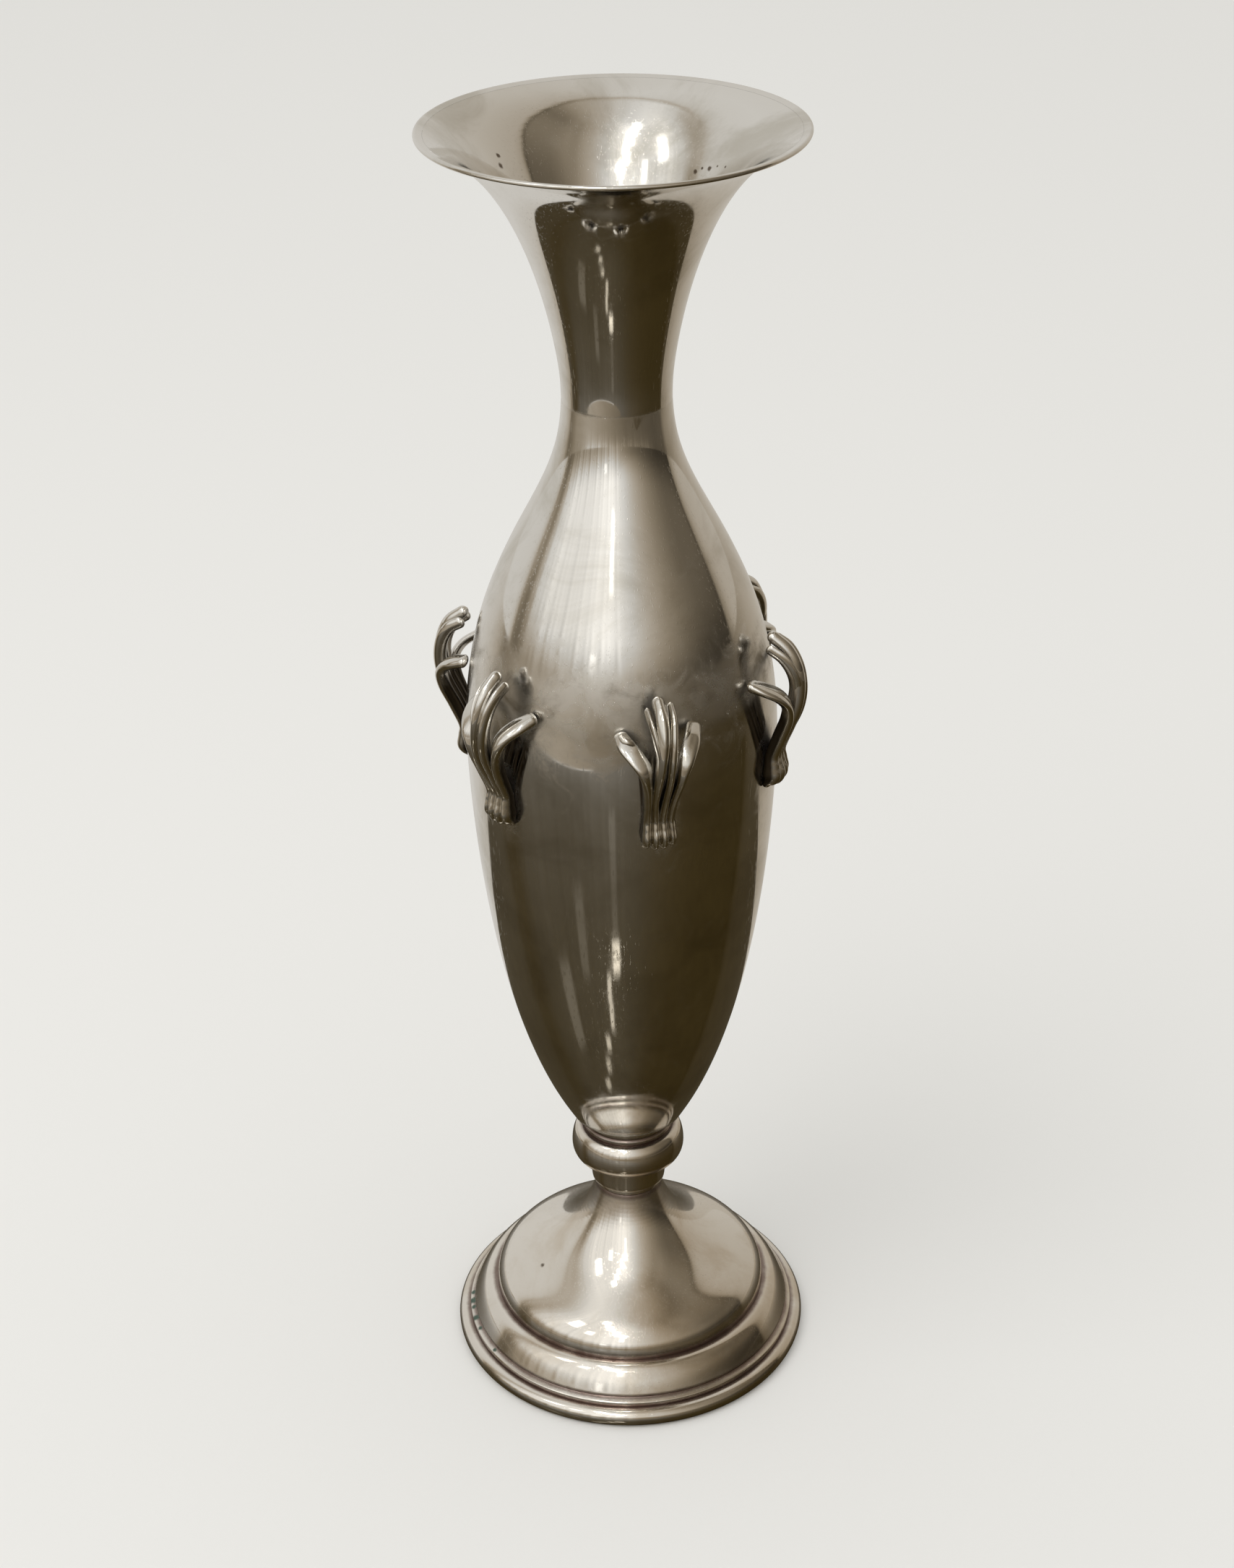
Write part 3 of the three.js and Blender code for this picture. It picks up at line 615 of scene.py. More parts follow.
def round_up(start, end, steps):
    """A rounded edge that leaves level and arrives upright."""
    leave = (start[0] + (end[0] - start[0]) * ROUNDNESS, start[1])
    arrive = (end[0], end[1] + (start[1] - end[1]) * ROUNDNESS)
    return bow(start, leave, arrive, end, steps)


def round_in(start, end, steps):
    """A rounded edge that leaves upright and arrives level."""
    leave = (start[0], start[1] + (end[1] - start[1]) * ROUNDNESS)
    arrive = (end[0] + (start[0] - end[0]) * ROUNDNESS, end[1])
    return bow(start, leave, arrive, end, steps)


print("curves ready")

# %% [markdown]
# ## Softening
# A real edge always catches a line of light, so small edges are softened. Two more tools add points
# where an outline is coarse, and ease a line whose bend changes too suddenly for a mirror.

# %% Tools for outlines
MOST_CUT = 0.4  # the largest share of a side that a softened corner takes
TINY = 1e-6


def soften(outline, reach):
    """Cut each corner: step back along both sides by the reach, and join over a point between."""
    before, after = np.roll(outline, 1, 0) - outline, np.roll(outline, -1, 0) - outline
    back = np.minimum(reach / np.maximum(np.hypot(*before.T), TINY), MOST_CUT)
    ahead = np.minimum(reach / np.maximum(np.hypot(*after.T), TINY), MOST_CUT)
    first, last = outline + before * back[:, None], outline + after * ahead[:, None]
    return np.stack([first, (first + last) / 4 + outline / 2, last], 1).reshape(-1, 2)


def run_length(outline):
    """Distance along an outline from its start to each of its points."""
    return np.concatenate([[0], np.cumsum(np.hypot(*np.diff(outline, axis=0).T))])


def even(outline, step):
    """The same outline with points added, so that none are further apart than the step."""
    run = run_length(outline)
    marks = np.unique(np.round(np.concatenate([run, np.arange(0, run[-1], step)]), 4))
    return np.stack([np.interp(marks, run, outline[:, i]) for i in (0, 1)], 1)


def eased(curve, reach, step=1.0):
    """Each place becomes the mean of its neighbours, weighted by a bell of the given reach."""
    run = run_length(curve)
    marks = np.linspace(0, run[-1], int(run[-1] / step) + 1)
    line = np.stack([np.interp(marks, run, curve[:, i]) for i in (0, 1)], 1)
    pad = int(4 * reach / step)
    bell = np.exp(-0.5 * (np.arange(-pad, pad + 1) * step / reach) ** 2)
    ahead, beyond = 2 * line[0] - line[pad:0:-1], 2 * line[-1] - line[-2:-pad - 2:-1]
    long = np.concatenate([ahead, line, beyond])
    return np.stack([np.convolve(long[:, i], bell / bell.sum(), "valid") for i in (0, 1)], 1)


def inset(outline, distance):
    """The outline moved sideways, to the left of its run, by a distance."""
    run = np.gradient(outline, axis=0)
    run /= np.hypot(*run.T)[:, None]
    return outline + distance * np.stack([-run[:, 1], run[:, 0]], 1)


print("outline tools ready")

# %% [markdown]
# ## Turning
# Blender can spin an outline with its Screw modifier, but a turned surface is simple enough to
# write down: every point of the outline goes once round the axis. That also gives each point its
# recess value at once, from how near it is to the joints.

# %% Turning an outline into a mesh
SIDES = 192
CREASE = math.radians(50)  # corners sharper than this stay sharp


def finished_mesh(name, points, faces, recess):
    """A smooth mesh, sharp only at plain corners, with the recess value on every point."""
    mesh = bpy.data.meshes.new(name)
    mesh.from_pydata(points.tolist(), [], faces)
    values = mesh.attributes.new("recess", "FLOAT", "POINT").data
    values.foreach_set("value", recess.astype(np.float32))
    mesh.shade_smooth()
    mesh.set_sharp_from_angle(angle=CREASE)
    return mesh


def turned(name, outline, shelter_and_shade):
    """Points (r cos a, r sin a, h) for an outline of (r, h) and an angle a once round the axis. An
    outline that starts on the axis is closed by a fan at each end, any other by its own loop."""
    ring_shaped = outline[0, 0] > 0
    rows, recess = (outline, shelter_and_shade) if ring_shaped else (outline[1:-1], shelter_and_shade[1:-1])
    angle = np.arange(SIDES) * 2 * np.pi / SIDES
    ring = np.stack([np.cos(angle), np.sin(angle), np.ones(SIDES)], 1)
    scale = np.stack([rows[:, 0], rows[:, 0], rows[:, 1]], 1)
    points = (scale[:, None] * ring[None]).reshape(-1, 3)
    index = np.arange(len(rows) * SIDES).reshape(-1, SIDES)
    above = np.roll(index, -1, 0)
    faces = np.stack([index, np.roll(index, -1, 1), np.roll(above, -1, 1), above], -1)
    faces = (faces if ring_shaped else faces[:-1]).reshape(-1, 4).tolist()
    values = np.repeat(recess, SIDES)
    if not ring_shaped:
        foot, crown = len(points), len(points) + 1
        points = np.vstack([points, [[0, 0, outline[0, 1]], [0, 0, outline[-1, 1]]]])
        values = np.append(values, [shelter_and_shade[0], shelter_and_shade[-1]])
        low, high = index[0], index[-1]
        faces += np.stack([np.full(SIDES, foot), np.roll(low, -1), low], 1).tolist()
        faces += np.stack([np.full(SIDES, crown), high, np.roll(high, -1)], 1).tolist()
    return finished_mesh(name, points * MM, faces, values)


def nearness(outline, places, reach):
    """1 at any of the given places of the outline, falling off as a bell of the given reach."""
    places = np.atleast_2d(np.array(places, float))
    gap = np.hypot(*(outline[:, None] - places[None]).transpose(2, 0, 1))
    return np.exp(-((gap / reach) ** 2)).max(1)


def show(mesh, stands_for, material):
    """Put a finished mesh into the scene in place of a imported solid."""
    obj = bpy.data.objects.new(mesh.name, mesh)
    scene.collection.objects.link(obj)
    mesh.materials.append(material)
    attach(obj, "root")
    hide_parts(stands_for)
    print("%s: %d points" % (mesh.name, len(mesh.vertices)))


print("sides round the axis:", SIDES)

# %% [markdown]
# ## Bead ring and step
# The foot is three spun rings. The lowest is a bead that carries the weight. A small fillet and a
# groove stand on it, and over them the sheet rounds in to a flat ledge for the dome. The dark lines
# between the rings are what the eye sees first, so groove and joints get the most tarnish.

# %% Bead ring and rounded step
SHEET = 1.2  # thickness of the spun metal
RIM, _, RIM_TOP = corners("base_rim")[1]
FILLET, _, STEP_TOP = corners("base_step")[1]
STEP = FILLET - 1.8
STEP_INSIDE = STEP - 2 * SHEET
RIM_STAND, RIM_CROWN = RIM - 2.9, RIM - 3.4  # where the bead leaves the floor and where it ends

widest = (RIM, RIM_TOP / 2)
rim = np.vstack([[(STEP_INSIDE, 0)], round_up((RIM_STAND, 0), widest, 10),
                 round_in(widest, (RIM_CROWN, RIM_TOP), 12)[1:], [(STEP_INSIDE, RIM_TOP)]])
rim = even(soften(rim, reach=0.25), step=1.0)
# darker at the joint under the step and where the bead leaves the floor
shelter = nearness(rim, [(FILLET, RIM_TOP), (RIM_STAND, 0)], reach=2.2)
show(turned("bead_ring", rim, shelter), "base_rim", foot_silver)

DOME, _, DOME_TOP = corners("foot_dome")[1]
FILLET_TOP = RIM_TOP + 2.0
GROOVE_HEIGHT, GROOVE_DEPTH = 2.2, 0.6
GROOVE_TOP = FILLET_TOP + GROOVE_HEIGHT
STEP_EDGE = STEP - 8.4  # where the rounding ends
STEP_LEAN = (2.4, 4.8)  # how far in and up the rounding starts off
STEP_LEVEL = 3.6  # how far it runs level at its end
LEDGE = DOME - 3.6

groove = (STEP - GROOVE_DEPTH, FILLET_TOP + GROOVE_HEIGHT / 2)
rounding = bow((STEP, GROOVE_TOP), (STEP - STEP_LEAN[0], GROOVE_TOP + STEP_LEAN[1]),
               (STEP_EDGE + STEP_LEVEL, STEP_TOP), (STEP_EDGE, STEP_TOP), 18)
inner = inset(rounding, SHEET)
inner[-1] = (STEP_EDGE, STEP_TOP - SHEET)
step = np.vstack([[(STEP_INSIDE, RIM_TOP), (FILLET, RIM_TOP), (FILLET, FILLET_TOP), groove],
                  rounding, [(LEDGE, STEP_TOP), (LEDGE, STEP_TOP - SHEET)], inner[::-1],
                  [(STEP_INSIDE, groove[1])]])
step = even(soften(step, reach=0.3), step=1.0)
shelter = nearness(step, [groove, (FILLET, RIM_TOP), (DOME + 0.3, STEP_TOP)], reach=2.4)
show(turned("rounded_step", step, shelter), "base_step", foot_silver)

# %% [markdown]
# ## Dome
# One curve flows up from the step into the thin stem. How early it turns hollow decides what the
# foot mirrors, so its two pulls were adjusted until the bright and dark shapes fell into place.

# %% Domed foot
STEM = 12.8  # radius of its top
STEM_LEAN = math.radians(16.3)
STEM_RUN = np.array([math.sin(STEM_LEAN), -math.cos(STEM_LEAN)])  # down the stem
DOME_PULL, STEM_PULL = 18.5, 39.5
STEM_PLATE = DOME_TOP - 2 * SHEET  # underside of the plate that closes the stem
STUD_HOLE = 4.4

stem_top = np.array([STEM, DOME_TOP])
spring = bow((DOME, STEP_TOP), (DOME, STEP_TOP + DOME_PULL), stem_top + STEM_PULL * STEM_RUN,
             stem_top, 60)
inner = inset(spring, SHEET)
inner[0], inner[-1] = (DOME - SHEET, STEP_TOP), (STEM - SHEET, STEM_PLATE)
dome = np.vstack([spring, [(STUD_HOLE, DOME_TOP), (STUD_HOLE, STEM_PLATE)], inner[::-2]])
dome = even(soften(dome, reach=0.2), step=1.5)
joints = nearness(dome, [(DOME, STEP_TOP), (STEM, DOME_TOP)], reach=3.8)
# darker over a broad patch in the hollow where the dome turns up into the stem
throat = 0.58 * nearness(dome, [(STEM + 1, DOME_TOP - 5)], reach=12.0)
shelter = np.maximum(joints, throat)
show(turned("domed_foot", dome, shelter), "foot_dome", foot_silver)

# %% [markdown]
# ## Stem
# A short ferrule, a round knop and a collar are threaded on a stud between foot and body. They are
# turned rings with a hole. The dark line between knop and collar is a joint that no cloth reaches.

# %% Ferrule, knop and collar
KNOP_FOOT = corners("knop_ring")[0][2]
KNOP, _, KNOP_TOP = corners("knop_ring")[1]
KNOP_LEDGE = KNOP - 4.1  # where its underside starts to round
KNOP_WIDEST = KNOP_FOOT + 0.38 * (KNOP_TOP - KNOP_FOOT)
COLLAR, _, COLLAR_TOP = corners("body_collar")[1]
FERRULE = corners("stem_ferrule")[1][0]
FERRULE_FOOT, FERRULE_ROUND = STEM - 0.8, 4.5

rounding = round_up((FERRULE_FOOT, DOME_TOP), (FERRULE, DOME_TOP + FERRULE_ROUND), 12)
ferrule = np.vstack([[(STUD_HOLE, DOME_TOP)], rounding,
                     [(FERRULE, KNOP_FOOT), (STUD_HOLE, KNOP_FOOT)]])
ferrule = even(soften(ferrule, reach=0.25), step=0.8)
shelter = nearness(ferrule, [(FERRULE, KNOP_FOOT), (STEM, DOME_TOP)], reach=1.8)
show(turned("ferrule", ferrule, shelter), "stem_ferrule", foot_silver)

widest = (KNOP, KNOP_WIDEST)
knop = np.vstack([[(STUD_HOLE, KNOP_FOOT)], round_up((KNOP_LEDGE, KNOP_FOOT), widest, 16),
                  round_in(widest, (COLLAR, KNOP_TOP), 16)[1:], [(STUD_HOLE, KNOP_TOP)]])
knop = even(soften(knop, reach=0.2), step=0.8)
shelter = nearness(knop, [(FERRULE, KNOP_FOOT), (COLLAR, KNOP_TOP)], reach=2.2)
show(turned("knop", knop, shelter), "knop_ring", foot_silver)

COLLAR_INSIDE = 12.3
WAIST = COLLAR - 0.6
BAND_TOP, WAIST_FOOT = KNOP_TOP + 1.6, KNOP_TOP + 2.2

collar = np.array([(COLLAR_INSIDE, KNOP_TOP), (COLLAR, KNOP_TOP), (COLLAR, BAND_TOP),
                   (WAIST, WAIST_FOOT), (WAIST, COLLAR_TOP), (COLLAR_INSIDE, COLLAR_TOP)])
collar = even(soften(collar, reach=0.3), step=0.6)
joints = [(COLLAR, KNOP_TOP), (WAIST, WAIST_FOOT), (WAIST, COLLAR_TOP)]
shelter = nearness(collar, joints, reach=1.6)
show(turned("collar", collar, shelter), "body_collar", foot_silver)

# %% [markdown]
# ## Body
# The body was spun from one disc: a steep flank, a wide belly, and a shoulder that turns hollow on
# its way to the neck. Three curves give its outline. They meet smoothly, but a mirror shows even a
# change of bend, so the whole line is eased once more before it is turned.

# %% Outline of the body
(_, _, BODY_FOOT), (BELLY, _, SEAM) = corners("body_shell")
FOOT_RADIUS, NECK = 22.3, 19.2  # radii of the body's bottom and of its top
BELLY_HEIGHT = BODY_FOOT + 169.5
SHOULDER = np.array([42.3, BODY_FOOT + 238.5])
SHOULDER_LEAN = math.radians(23.3)
SHOULDER_RUN = np.array([-math.sin(SHOULDER_LEAN), math.cos(SHOULDER_LEAN)])
FLANK_PULL = (34.2, 56.8)  # how far out and up the line leaves the foot
BELLY_BELOW, BELLY_ABOVE = 2.5, 40.7  # how long it stays upright at the belly
SHOULDER_BELOW, SHOULDER_ABOVE = 5, 23.6  # how long it keeps the shoulder's lean
NECK_BELOW = 24.4  # how long it is upright again at the neck

flank = bow((FOOT_RADIUS, BODY_FOOT), (FOOT_RADIUS + FLANK_PULL[0], BODY_FOOT + FLANK_PULL[1]),
            (BELLY, BELLY_HEIGHT - BELLY_BELOW), (BELLY, BELLY_HEIGHT), 60)
swell = bow((BELLY, BELLY_HEIGHT), (BELLY, BELLY_HEIGHT + BELLY_ABOVE),
            SHOULDER - SHOULDER_BELOW * SHOULDER_RUN, SHOULDER, 40)
hollow = bow(SHOULDER, SHOULDER + SHOULDER_ABOVE * SHOULDER_RUN, (NECK, SEAM - NECK_BELOW),
             (NECK, SEAM), 40)
outside = eased(np.vstack([flank, swell[1:], hollow[1:]]), reach=5.0, step=2.0)
inside = inset(outside, SHEET)
inside[0], inside[-1] = (FOOT_RADIUS - SHEET, BODY_FOOT + SHEET), (NECK - SHEET, SEAM)
shell = np.vstack([[(0, BODY_FOOT)], outside, inside[::-2], [(0, BODY_FOOT + SHEET)]])
print("body: %.0f mm tall, %.0f mm wide" % (SEAM - BODY_FOOT, 2 * BELLY))

# %% [markdown]
# ## Tarnish and painted shade on the body
# A cloth rubs the body bright except where the claws are in its way, and there the claws also
# cast shade. So the recess value rises in a patch under each claw's shaft and in another behind its
# fingers, painting tarnish and shade there, and a little in the whole belt between the claws. The
# mesh is turned first, and then its points are measured against each claw.

# %% Body shell
CLAW_ANGLES = np.radians([13.4, 69, 131, -167, -105.5, -45.8])  # from the front, towards the right
CLAW_LIFTS = np.array([-0.3, 5.8, 0, 0, -1.5, 1.2])
TOES = BELLY_HEIGHT - 16 + CLAW_LIFTS  # height of each claw's toes
BELT, BELT_RISE, BELT_SPREAD = 0.48, 36, 20


def body_radius(height):
    """Radius of the body's outside at a height, read off its outline."""
    return np.interp(height, outside[:, 1], outside[:, 0])


def patch(side, rise, strength, middle, spread):
    """A soft oval patch by each claw: a bell over the way to the side times one over the rise."""
    return strength * np.exp(-((side - middle[0]) / spread[0]) ** 2
                             - ((rise - middle[1]) / spread[1]) ** 2)


joints = nearness(shell, [(FOOT_RADIUS, BODY_FOOT)], reach=2.0)
seam = 0.5 * nearness(shell, [(NECK, SEAM)], reach=0.8)
body_mesh = turned("body", shell, np.maximum(joints, seam))
place = np.empty(len(body_mesh.vertices) * 3)
body_mesh.vertices.foreach_get("co", place)
place = place.reshape(-1, 3) / MM
recess = np.empty(len(place))
body_mesh.attributes["recess"].data.foreach_get("value", recess)
around = np.arctan2(place[:, 0], -place[:, 1])
apart = (around[:, None] - CLAW_ANGLES + np.pi) % (2 * np.pi) - np.pi
side = apart * body_radius(place[:, 2])[:, None]
rise = place[:, 2][:, None] - TOES
# painted shade and tarnish: darker under each claw's shaft and behind its fingers
by_shaft = patch(side, rise, 0.85, middle=(-1.6, 9), spread=(9, 16))
by_fingers = patch(side, rise, 0.72, middle=(-1, 48), spread=(19, 16))
belt = BELT * np.exp(-(((place[:, 2] - BELLY_HEIGHT - BELT_RISE) / BELT_SPREAD) ** 2))
recess = np.maximum(np.maximum(recess, belt), np.maximum(by_shaft, by_fingers).max(1))
body_mesh.attributes["recess"].data.foreach_set("value", recess.astype(np.float32))
show(body_mesh, "body_shell", body_silver)

# %% [markdown]
# ## Trumpet mouth
# The mouth is a second spun piece. Its sleeve slides into the body's neck, where a faint seam
# shows. Outside and inside are both seen, so both walls are in the outline.

# %% Trumpet
SLEEVE_FOOT = corners("trumpet_neck")[0][2]
(_, _, LIP_FOOT), (LIP, _, LIP_TOP) = corners("lip_wire")
LIP_WIRE = LIP_TOP - LIP_FOOT
LIP_LEAN = math.radians(19)
FIT = 0.3  # room between two pieces before they are soldered
FLARE_FOOT = SEAM + 6.0
FLARE_END, FLARE_TOP = LIP - LIP_WIRE - FIT, LIP_FOOT + LIP_WIRE / 2 - SHEET / 2
FLARE_PULL, LIP_PULL = 4.3, 37.7
SLEEVE = NECK - SHEET - FIT
BORE = SLEEVE - 0.8

pull = (FLARE_END - LIP_PULL * math.cos(LIP_LEAN), FLARE_TOP - LIP_PULL * math.sin(LIP_LEAN))
flare = bow((NECK, FLARE_FOOT), (NECK, FLARE_FOOT + FLARE_PULL), pull, (FLARE_END, FLARE_TOP), 60)
flare = eased(np.vstack([[(NECK, SEAM)], flare]), reach=4.0)
flare_inside = inset(flare, SHEET)[1:]
flare_inside = flare_inside[flare_inside[:, 1] > FLARE_FOOT + 2]
trumpet = np.vstack([[(SLEEVE, SLEEVE_FOOT), (SLEEVE, SEAM)], flare, flare_inside[::-1],
                     [(BORE, FLARE_FOOT), (BORE, SLEEVE_FOOT)]])
trumpet = even(trumpet, step=2.0)
seam = 0.5 * nearness(trumpet, [(NECK, SEAM)], reach=0.8)
brim = 0.3 * nearness(trumpet, flare[-1:], reach=1.2)
shelter = np.maximum(seam, brim)
show(turned("trumpet", trumpet, shelter), "trumpet_neck", body_silver)

# %% [markdown]
# ## Lip
# A half-round wire stiffens the edge of the mouth and draws the bright line round it.

# %% Lip wire
NOSE = 0.36 * LIP_WIRE  # radius of its round outer side
SOLDER = (0.04, 0.02)  # gap to the flare's end

turn = np.linspace(-np.pi / 2, np.pi / 2, 15)
nose = np.stack([LIP - NOSE + NOSE * np.cos(turn), LIP_TOP - NOSE + NOSE * np.sin(turn)], 1)
wire = np.vstack([[flare[-1] + SOLDER], nose, [flare_inside[-1] + SOLDER]])
wire = even(wire, step=0.5)
shelter = 0.4 * nearness(wire, flare[-1:], reach=1.0)
show(turned("lip", wire, shelter), "lip_wire", body_silver)

# %% [markdown]
# ## Claws
# Six castings grip the belly. Each began as a bundle of wax reeds: they lie side by side in the
# shaft, then fan out. Two bow up to blunt tips with a thin one beside them, and one on each side
# turns off into a broad blade that presses on the body. Each reed is a keeled section carried along
# a path, with a sharp ridge, because the line of light along it is what the eye follows.

# %% Path and section of a reed
HALF_KEEL = np.array([  # out and across, from the ridge to the back
    (1.0, 0.18), (0.66, 0.64), (0.12, 0.98), (-0.6, 0.92), (-1.0, 0.40)])
CORNER_SHARE = 0.2  # how much of each side is cut off at a corner

keel = np.vstack([HALF_KEEL, HALF_KEEL[::-1] * (1, -1)])
onward = np.roll(keel, -1, 0)
keel = np.stack([(1 - CORNER_SHARE) * keel + CORNER_SHARE * onward,
                 CORNER_SHARE * keel + (1 - CORNER_SHARE) * onward], 1).reshape(-1, 2)


def through(stations, per_span):
    """A smooth line through the stations: cubic pieces whose slope at each is half the step between
    its neighbours."""
    slope = np.gradient(stations, axis=0)
    t = np.linspace(0, 1, per_span, endpoint=False)[:, None]
    weights = (2 * t**3 - 3 * t**2 + 1, t**3 - 2 * t**2 + t, 3 * t**2 - 2 * t**3, t**3 - t**2)
    parts = zip(weights, (stations[:-1], slope[:-1], stations[1:], slope[1:]))
    line = sum(w[None] * p[:, None] for w, p in parts)
    return np.vstack([line.reshape(-1, stations.shape[1]), stations[-1:]])


def carried_outward(run):
    """The outward side at each step of a path: what the step before had, less its part along the
    path."""
    outward, facing = np.array([0.0, -1.0, 0.0]), []
    for heading in run:
        outward = outward - heading * (outward @ heading)
        outward /= np.linalg.norm(outward)
        facing.append(outward)
    return np.array(facing)


print("keel:", keel.shape)

# %% [markdown]
# ## One reed
# The section keeps its form along the path while its width, its depth and the lean of its ridge
# change. Both ends are rounded over by a few more rings that shrink as a half ball does. The recess
# value is low on the ridge, high on the back, and lower on the free fingers: the back, which faces
# the body, gets tarnish and painted shade.

# %% A reed as a mesh
PER_SPAN = 10  # rings from one station to the next
END_RINGS = np.array([0.3, 0.55, 0.75, 0.9, 0.98])  # shares of the rounded end's length
VALLEY = (-0.8, 0.2)  # how far down from the ridge the recess starts and is full
FREE_FROM, FREE_CLEAN = (24, 38), 0.5  # rise where the fingers come free, and what they lose there


def reed(toes, stations, blunt):
    """The keel carried along a path over the body. A station is rise above the toes, stand off the
    body, side from the claw's middle, width, depth and lean of the ridge. Returns the points, their
    recess, the faces along the reed and those that close its ends."""
    line = through(np.array(stations, float), PER_SPAN)
    rise, stand, side, width, depth, lean = line.T
    out = body_radius(toes + rise) + stand
    bearing = side / out
    centre = np.stack([out * np.sin(bearing), -out * np.cos(bearing), toes + rise], 1)
    run = np.gradient(centre, axis=0)
    run /= np.linalg.norm(run, axis=1)[:, None]
    rings, more = len(line), len(END_RINGS)
    order = np.concatenate([np.zeros(more, int), np.arange(rings), np.full(more, rings - 1)])
    reach = np.concatenate([-END_RINGS[::-1], np.zeros(rings), END_RINGS])
    centre = centre[order] + run[order] * (reach * blunt)[:, None]
    scale = np.sqrt(1 - reach**2)[:, None]
    width, depth, lean, rise = (v[order][:, None] for v in (width, depth, lean, rise))
    facing = carried_outward(run)[order]
    across = np.cross(run[order], facing)
    out_part = keel[None, :, 0] * depth * scale / 2
    leaning = keel[None, :, 1] + lean * np.clip(keel[None, :, 0], 0, 1)
    side_part = leaning * width * scale / 2
    points = (centre[:, None] + facing[:, None] * out_part[..., None]
              + across[:, None] * side_part[..., None])
    # painted shade and tarnish on each reed's back, which faces the body, less on the free fingers
    valley = smooth(-keel[None, :, 0], *VALLEY) * (1 - FREE_CLEAN * smooth(rise, *FREE_FROM))
    index = np.arange(points.shape[0] * points.shape[1]).reshape(points.shape[:2])
    beside = np.roll(index, -1, 1)
    along = np.stack([index[:-1], beside[:-1], beside[1:], index[1:]], -1).reshape(-1, 4)
    return points.reshape(-1, 3), valley.ravel(), along, np.stack([index[0, ::-1], index[-1]])


print("rings at each end:", len(END_RINGS))

# %% [markdown]
# ## The bundle
# The stations below are read from the bottom up: toes, heel and waist of the shaft, then the shank,
# and then each finger's own way. All heights are above the toes, all stands are off the body.

# %% Stations of the five fingers
REED = 3.5  # width of a reed, a little more than the pitch, so that neighbours merge
ROW_SIDES = {"left": -5.7, "long": -2.95, "short": -0.15, "right": 2.6}
ROW_MIDDLE = -1.6


def shaft(row):
    """Toe, heel and waist of one reed; the outer toes are shorter and stand back."""
    side = ROW_SIDES[row]
    outer = abs(side - ROW_MIDDLE) / 4
    toe = side + 0.10 * (side - ROW_MIDDLE)
    return [(0.4 + 1.3 * outer, 1.5, toe, 2.8, 3.0, 0),
            (2.4 + 1.1 * outer, 3.1 - 0.5 * outer, toe, 3.7, 5.8, 0),
            (5.4, 3.9 - 0.9 * outer, toe, 4.0, 6.8, 0),
            (9.0, 3.1 - 0.3 * outer, (toe + side) / 2, 3.6, 5.8, 0),
            (13.5, 2.9, side, REED, 5.0, 0)]


long_finger = shaft("long") + [
    (22, 6.4, -3.7, 3.3, 5.2, 0), (31, 10.8, -3.4, 3.5, 5.2, 0), (39, 13.2, -2.5, 4.0, 5.0, 0),
    (47, 13.8, -1.7, 4.7, 4.8, 0), (54, 12.0, -1.35, 4.9, 4.6, 0), (58.3, 7.8, -1.4, 4.5, 4.4, 0)]
short_finger = shaft("short") + [
    (22, 6.3, 0.0, 3.3, 5.2, 0), (31, 10.8, 0.55, 3.3, 5.2, 0), (39, 13.0, 1.15, 3.4, 5.0, 0),
    (47, 13.0, 1.95, 3.4, 4.8, 0), (53, 10.8, 2.7, 3.3, 4.6, 0), (55.8, 7.2, 2.85, 3.1, 4.4, 0)]
thin_finger = [
    (33, 10.6, -3.1, 2.0, 4.6, 0), (41, 12.8, -3.3, 2.3, 4.6, 0), (47, 12.8, -4.1, 2.4, 4.4, 0),
    (52, 10.8, -4.8, 2.5, 4.2, 0), (55, 7.2, -5.2, 2.4, 4.0, 0)]
left_blade = shaft("left") + [
    (22, 6.3, -6.2, 3.4, 5.2, 0), (30, 9.8, -6.9, 4.2, 5.0, -0.2), (36, 11.0, -8.0, 5.4, 4.2, -0.6),
    (40.3, 9.6, -10.4, 5.8, 3.8, -0.75), (43, 6.4, -12.8, 5.8, 3.6, -0.7),
    (44.4, 2.6, -14.0, 5.2, 3.8, -0.4)]
right_blade = shaft("right") + [
    (22, 6.3, 3.2, 3.4, 5.2, 0), (30, 9.8, 4.7, 3.9, 5.0, 0.1), (36, 11.0, 6.0, 5.2, 4.4, 0.35),
    (40.3, 9.8, 7.8, 6.0, 3.9, 0.45), (43.4, 6.6, 10.4, 6.2, 3.6, 0.4),
    (45.2, 2.6, 12.2, 5.6, 3.8, 0.25)]
fingers = [(long_finger, 2.2), (short_finger, 1.8), (thin_finger, 1.5), (left_blade, 2.0),
           (right_blade, 2.0)]  # each with the length of its rounded ends
print("fingers:", len(fingers), "stations:", [len(stations) for stations, _ in fingers])

# %% [markdown]
# ## Casting
# The five reeds of a claw run into one another, so they are simply set together in one mesh. Where
# the claw meets the body it is pressed on to it. The recess value is low on the ridges and high in
# the valleys between the reeds and close to the body, where it paints tarnish and shade.

# %% Casting the claws
SINK = 0.25  # how far the claw's back reaches into the solder on the body
TOUCHING, CLOSE = 1.1, 1.6  # recess where it touches the body, and how far off that reaches

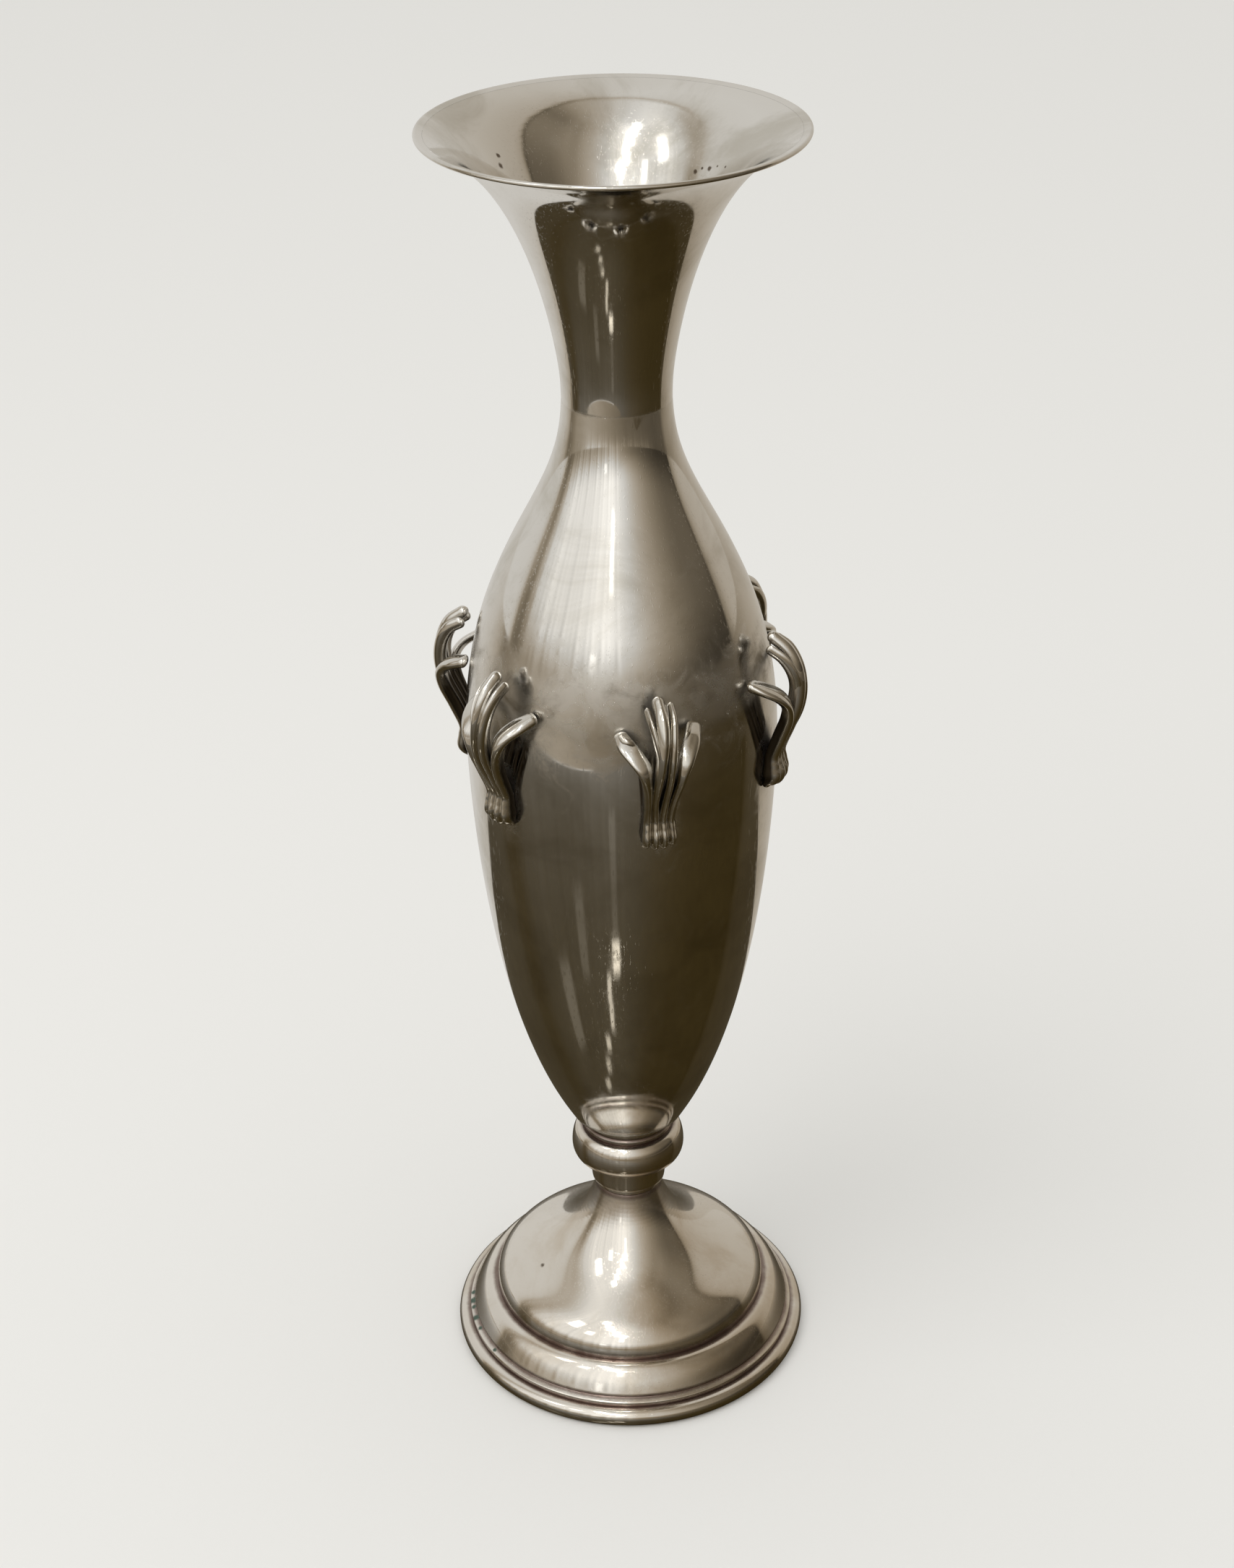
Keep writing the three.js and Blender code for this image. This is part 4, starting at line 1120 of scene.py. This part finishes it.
for number, (angle, toes) in enumerate(zip(CLAW_ANGLES, TOES), 1):
    reeds = [reed(toes, stations, blunt) for stations, blunt in fingers]
    faces, shift = [], 0
    for reed_points, _, along, ends in reeds:
        faces += (along + shift).tolist() + (ends + shift).tolist()
        shift += len(reed_points)
    points = np.vstack([part[0] for part in reeds])
    valley = np.concatenate([part[1] for part in reeds])
    radius = np.hypot(points[:, 0], points[:, 1])
    body = body_radius(points[:, 2])
    stand_off = radius - body
    # painted shade close to the body, on top of the tarnish and shade of the valleys
    recess = np.clip(np.maximum(valley, TOUCHING - stand_off / CLOSE), 0, 1)
    points[:, :2] *= (np.maximum(stand_off, -SINK) + body)[:, None] / radius[:, None]
    turn = np.array([[math.cos(angle), -math.sin(angle)], [math.sin(angle), math.cos(angle)]])
    points[:, :2] = points[:, :2] @ turn.T
    show(finished_mesh("cast_claw_%d" % number, points * MM, faces, recess),
         "claw_%d" % number, cast_silver)

# %% [markdown]
# ## Clamp
# A stud, a washer and a nut hold foot, stem and body together from inside. They are plain steel and
# can be seen only from below. Their solids have the right shape, so they only get a finish: turned
# steel with faint rings and a few rusty patches.

# %% Steel of the clamp
CLAMP = ("centre_stud", "clamp_washer", "clamp_nut")
BARE_STEEL, RUST = (0.50, 0.51, 0.52, 1), (0.28, 0.20, 0.14, 1)
RING_SCALE, RING_DEPTH, RING_GLOSS = (60, 60, 2600), 0.00004, (0.28, 0.48)
RUST_SCALE, RUST_EDGE = 240.0, (0.55, 0.72)

steel, tree, shader = new_finish("fastener_steel", {"Metallic": 1.0})
spot = object_place(tree)
rings = node(tree, "Mapping", {"Vector": spot, "Scale": RING_SCALE}).outputs[0]
turning = grain(tree, rings, 1.0, detail=2.0)
patches = rising(tree, grain(tree, spot, RUST_SCALE, detail=4.0), *RUST_EDGE)
tree.links.new(mixed(tree, patches, BARE_STEEL, RUST), shader.inputs["Base Color"])
tree.links.new(rising(tree, turning, 0.3, 0.7, *RING_GLOSS), shader.inputs["Roughness"])
bump = node(tree, "Bump", {"Strength": 0.4, "Distance": RING_DEPTH, "Height": turning})
tree.links.new(bump.outputs[0], shader.inputs["Normal"])
for name in CLAMP:
    slots = frame["nodes"][name].data.materials
    slots.clear()
    slots.append(steel)
print("steel on:", CLAMP)

# %% Finish
bpy.context.view_layer.update()
